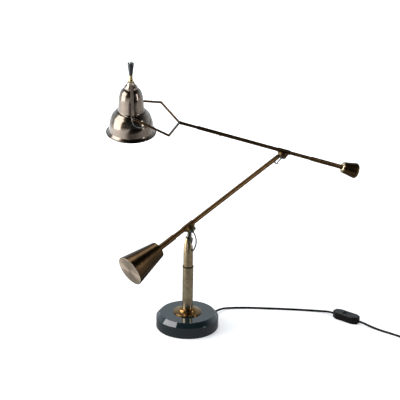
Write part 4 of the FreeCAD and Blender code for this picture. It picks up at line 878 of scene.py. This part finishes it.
# Painted shade: to all rays but the camera's the sheet is near black, except on its left, which
# the softbox lights.
lit = node(tree, "Math", {0: rays["Is Camera Ray"], 1: left}, operation="MAXIMUM").outputs[0]
paper = node(tree, "Mix", {0: lit, 6: linear("202020"), 7: linear("e6e6e6")},
             data_type="RGBA").outputs[2]
tree.links.new(paper, shader.inputs["Base Color"])
far = node(tree, "VectorMath", {0: place}, operation="LENGTH").outputs["Value"]
whiter = faded(tree, far, SHADOW_ROOM, LIFT)
lift = node(tree, "Math", {0: seen, 1: whiter}, operation="MULTIPLY").outputs[0]
glow = node(tree, "Emission", {"Strength": lift}).outputs[0]
both = node(tree, "AddShader", {0: shader.outputs[0], 1: glow}).outputs[0]
tree.links.new(both, tree.nodes["Material Output"].inputs["Surface"])

floor_mesh = bmesh.new()
corners = [(-FLOOR_HALF, -FLOOR_HALF), (FLOOR_HALF, -FLOOR_HALF),
           (FLOOR_HALF, FLOOR_HALF), (-FLOOR_HALF, FLOOR_HALF)]
floor_mesh.faces.new([floor_mesh.verts.new((x, y, 0)) for x, y in corners])
floor = placed("floor", floor_mesh, white_sweep)
print("floor", 2 * FLOOR_HALF, "m wide")

# %% [markdown]
# ## The lights
# A broad softbox on the left draws the long pale highlights down the shade, a
# narrow strip on the right draws the thin ones, and a third from above lifts the
# arms' upper sides.

# %% Lights
AIM = Vector((0.05, 0.1, 0.35))
SOFTBOXES = [                        # place and size in metres, power in watts
    ("left_softbox", (-1.9, -0.35, 1.05), (1.7, 2.3), 66.0),
    ("right_strip", (2.0, -0.75, 0.9), (0.3, 1.7), 12.0),
    ("top_softbox", (-0.3, 0.9, 2.6), (1.6, 1.2), 24.0),
]
for name, place, size, power in SOFTBOXES:
    data = bpy.data.lights.new(name, "AREA")
    data.shape = "RECTANGLE"
    data.size, data.size_y = size
    data.energy = power
    lamp = bpy.data.objects.new(name, data)
    lamp.location = place
    lamp.rotation_euler = (AIM - Vector(place)).to_track_quat("-Z", "Y").to_euler()
    bpy.context.scene.collection.objects.link(lamp)
print("softboxes", len(SOFTBOXES))

# %% [markdown]
# ## The room
# Behind the lamp the room is a pale wall, in front and overhead it is dark.  The
# camera sees plain white instead, and dull surfaces get one even fill.

# %% Room
WALL_WAY = (-0.35, 0.55)             # from the front of the room to its back wall
WALL_LIGHT = (0.06, 0.85)
DARK_ABOVE = (0.3, 0.85)
CEILING_LIGHT = (1.0, 0.05)
EVEN_FILL = 0.42
WHITE = (1.0, 1.0, 1.0, 1.0)
room = bpy.data.worlds.new("white_room")
bpy.context.scene.world = room
room.use_nodes = True
tree = room.node_tree
tree.nodes.clear()
way = node(tree, "SeparateXYZ", {0: node(tree, "TexCoord").outputs["Generated"]}).outputs
back = faded(tree, way["Y"], WALL_WAY, WALL_LIGHT)
high = faded(tree, way["Z"], DARK_ABOVE, CEILING_LIGHT)
walls = node(tree, "Math", {0: back, 1: high}, operation="MULTIPLY").outputs[0]
path = node(tree, "LightPath").outputs
mirrored = node(tree, "Mix", {
    0: path["Is Camera Ray"], 2: walls, 3: 1.0,
}, data_type="FLOAT").outputs[0]
strength = node(tree, "Mix", {
    0: path["Is Diffuse Ray"], 2: mirrored, 3: EVEN_FILL,
}, data_type="FLOAT").outputs[0]
tint = node(tree, "Mix", {
    0: path["Is Camera Ray"], 6: linear("eaf6ff"), 7: WHITE,
}, data_type="RGBA").outputs[2]
sky = node(tree, "Background", {"Color": tint, "Strength": strength})
node(tree, "OutputWorld", {"Surface": sky.outputs[0]})
bpy.context.scene.view_settings.view_transform = "Standard"
print("room", room.name)
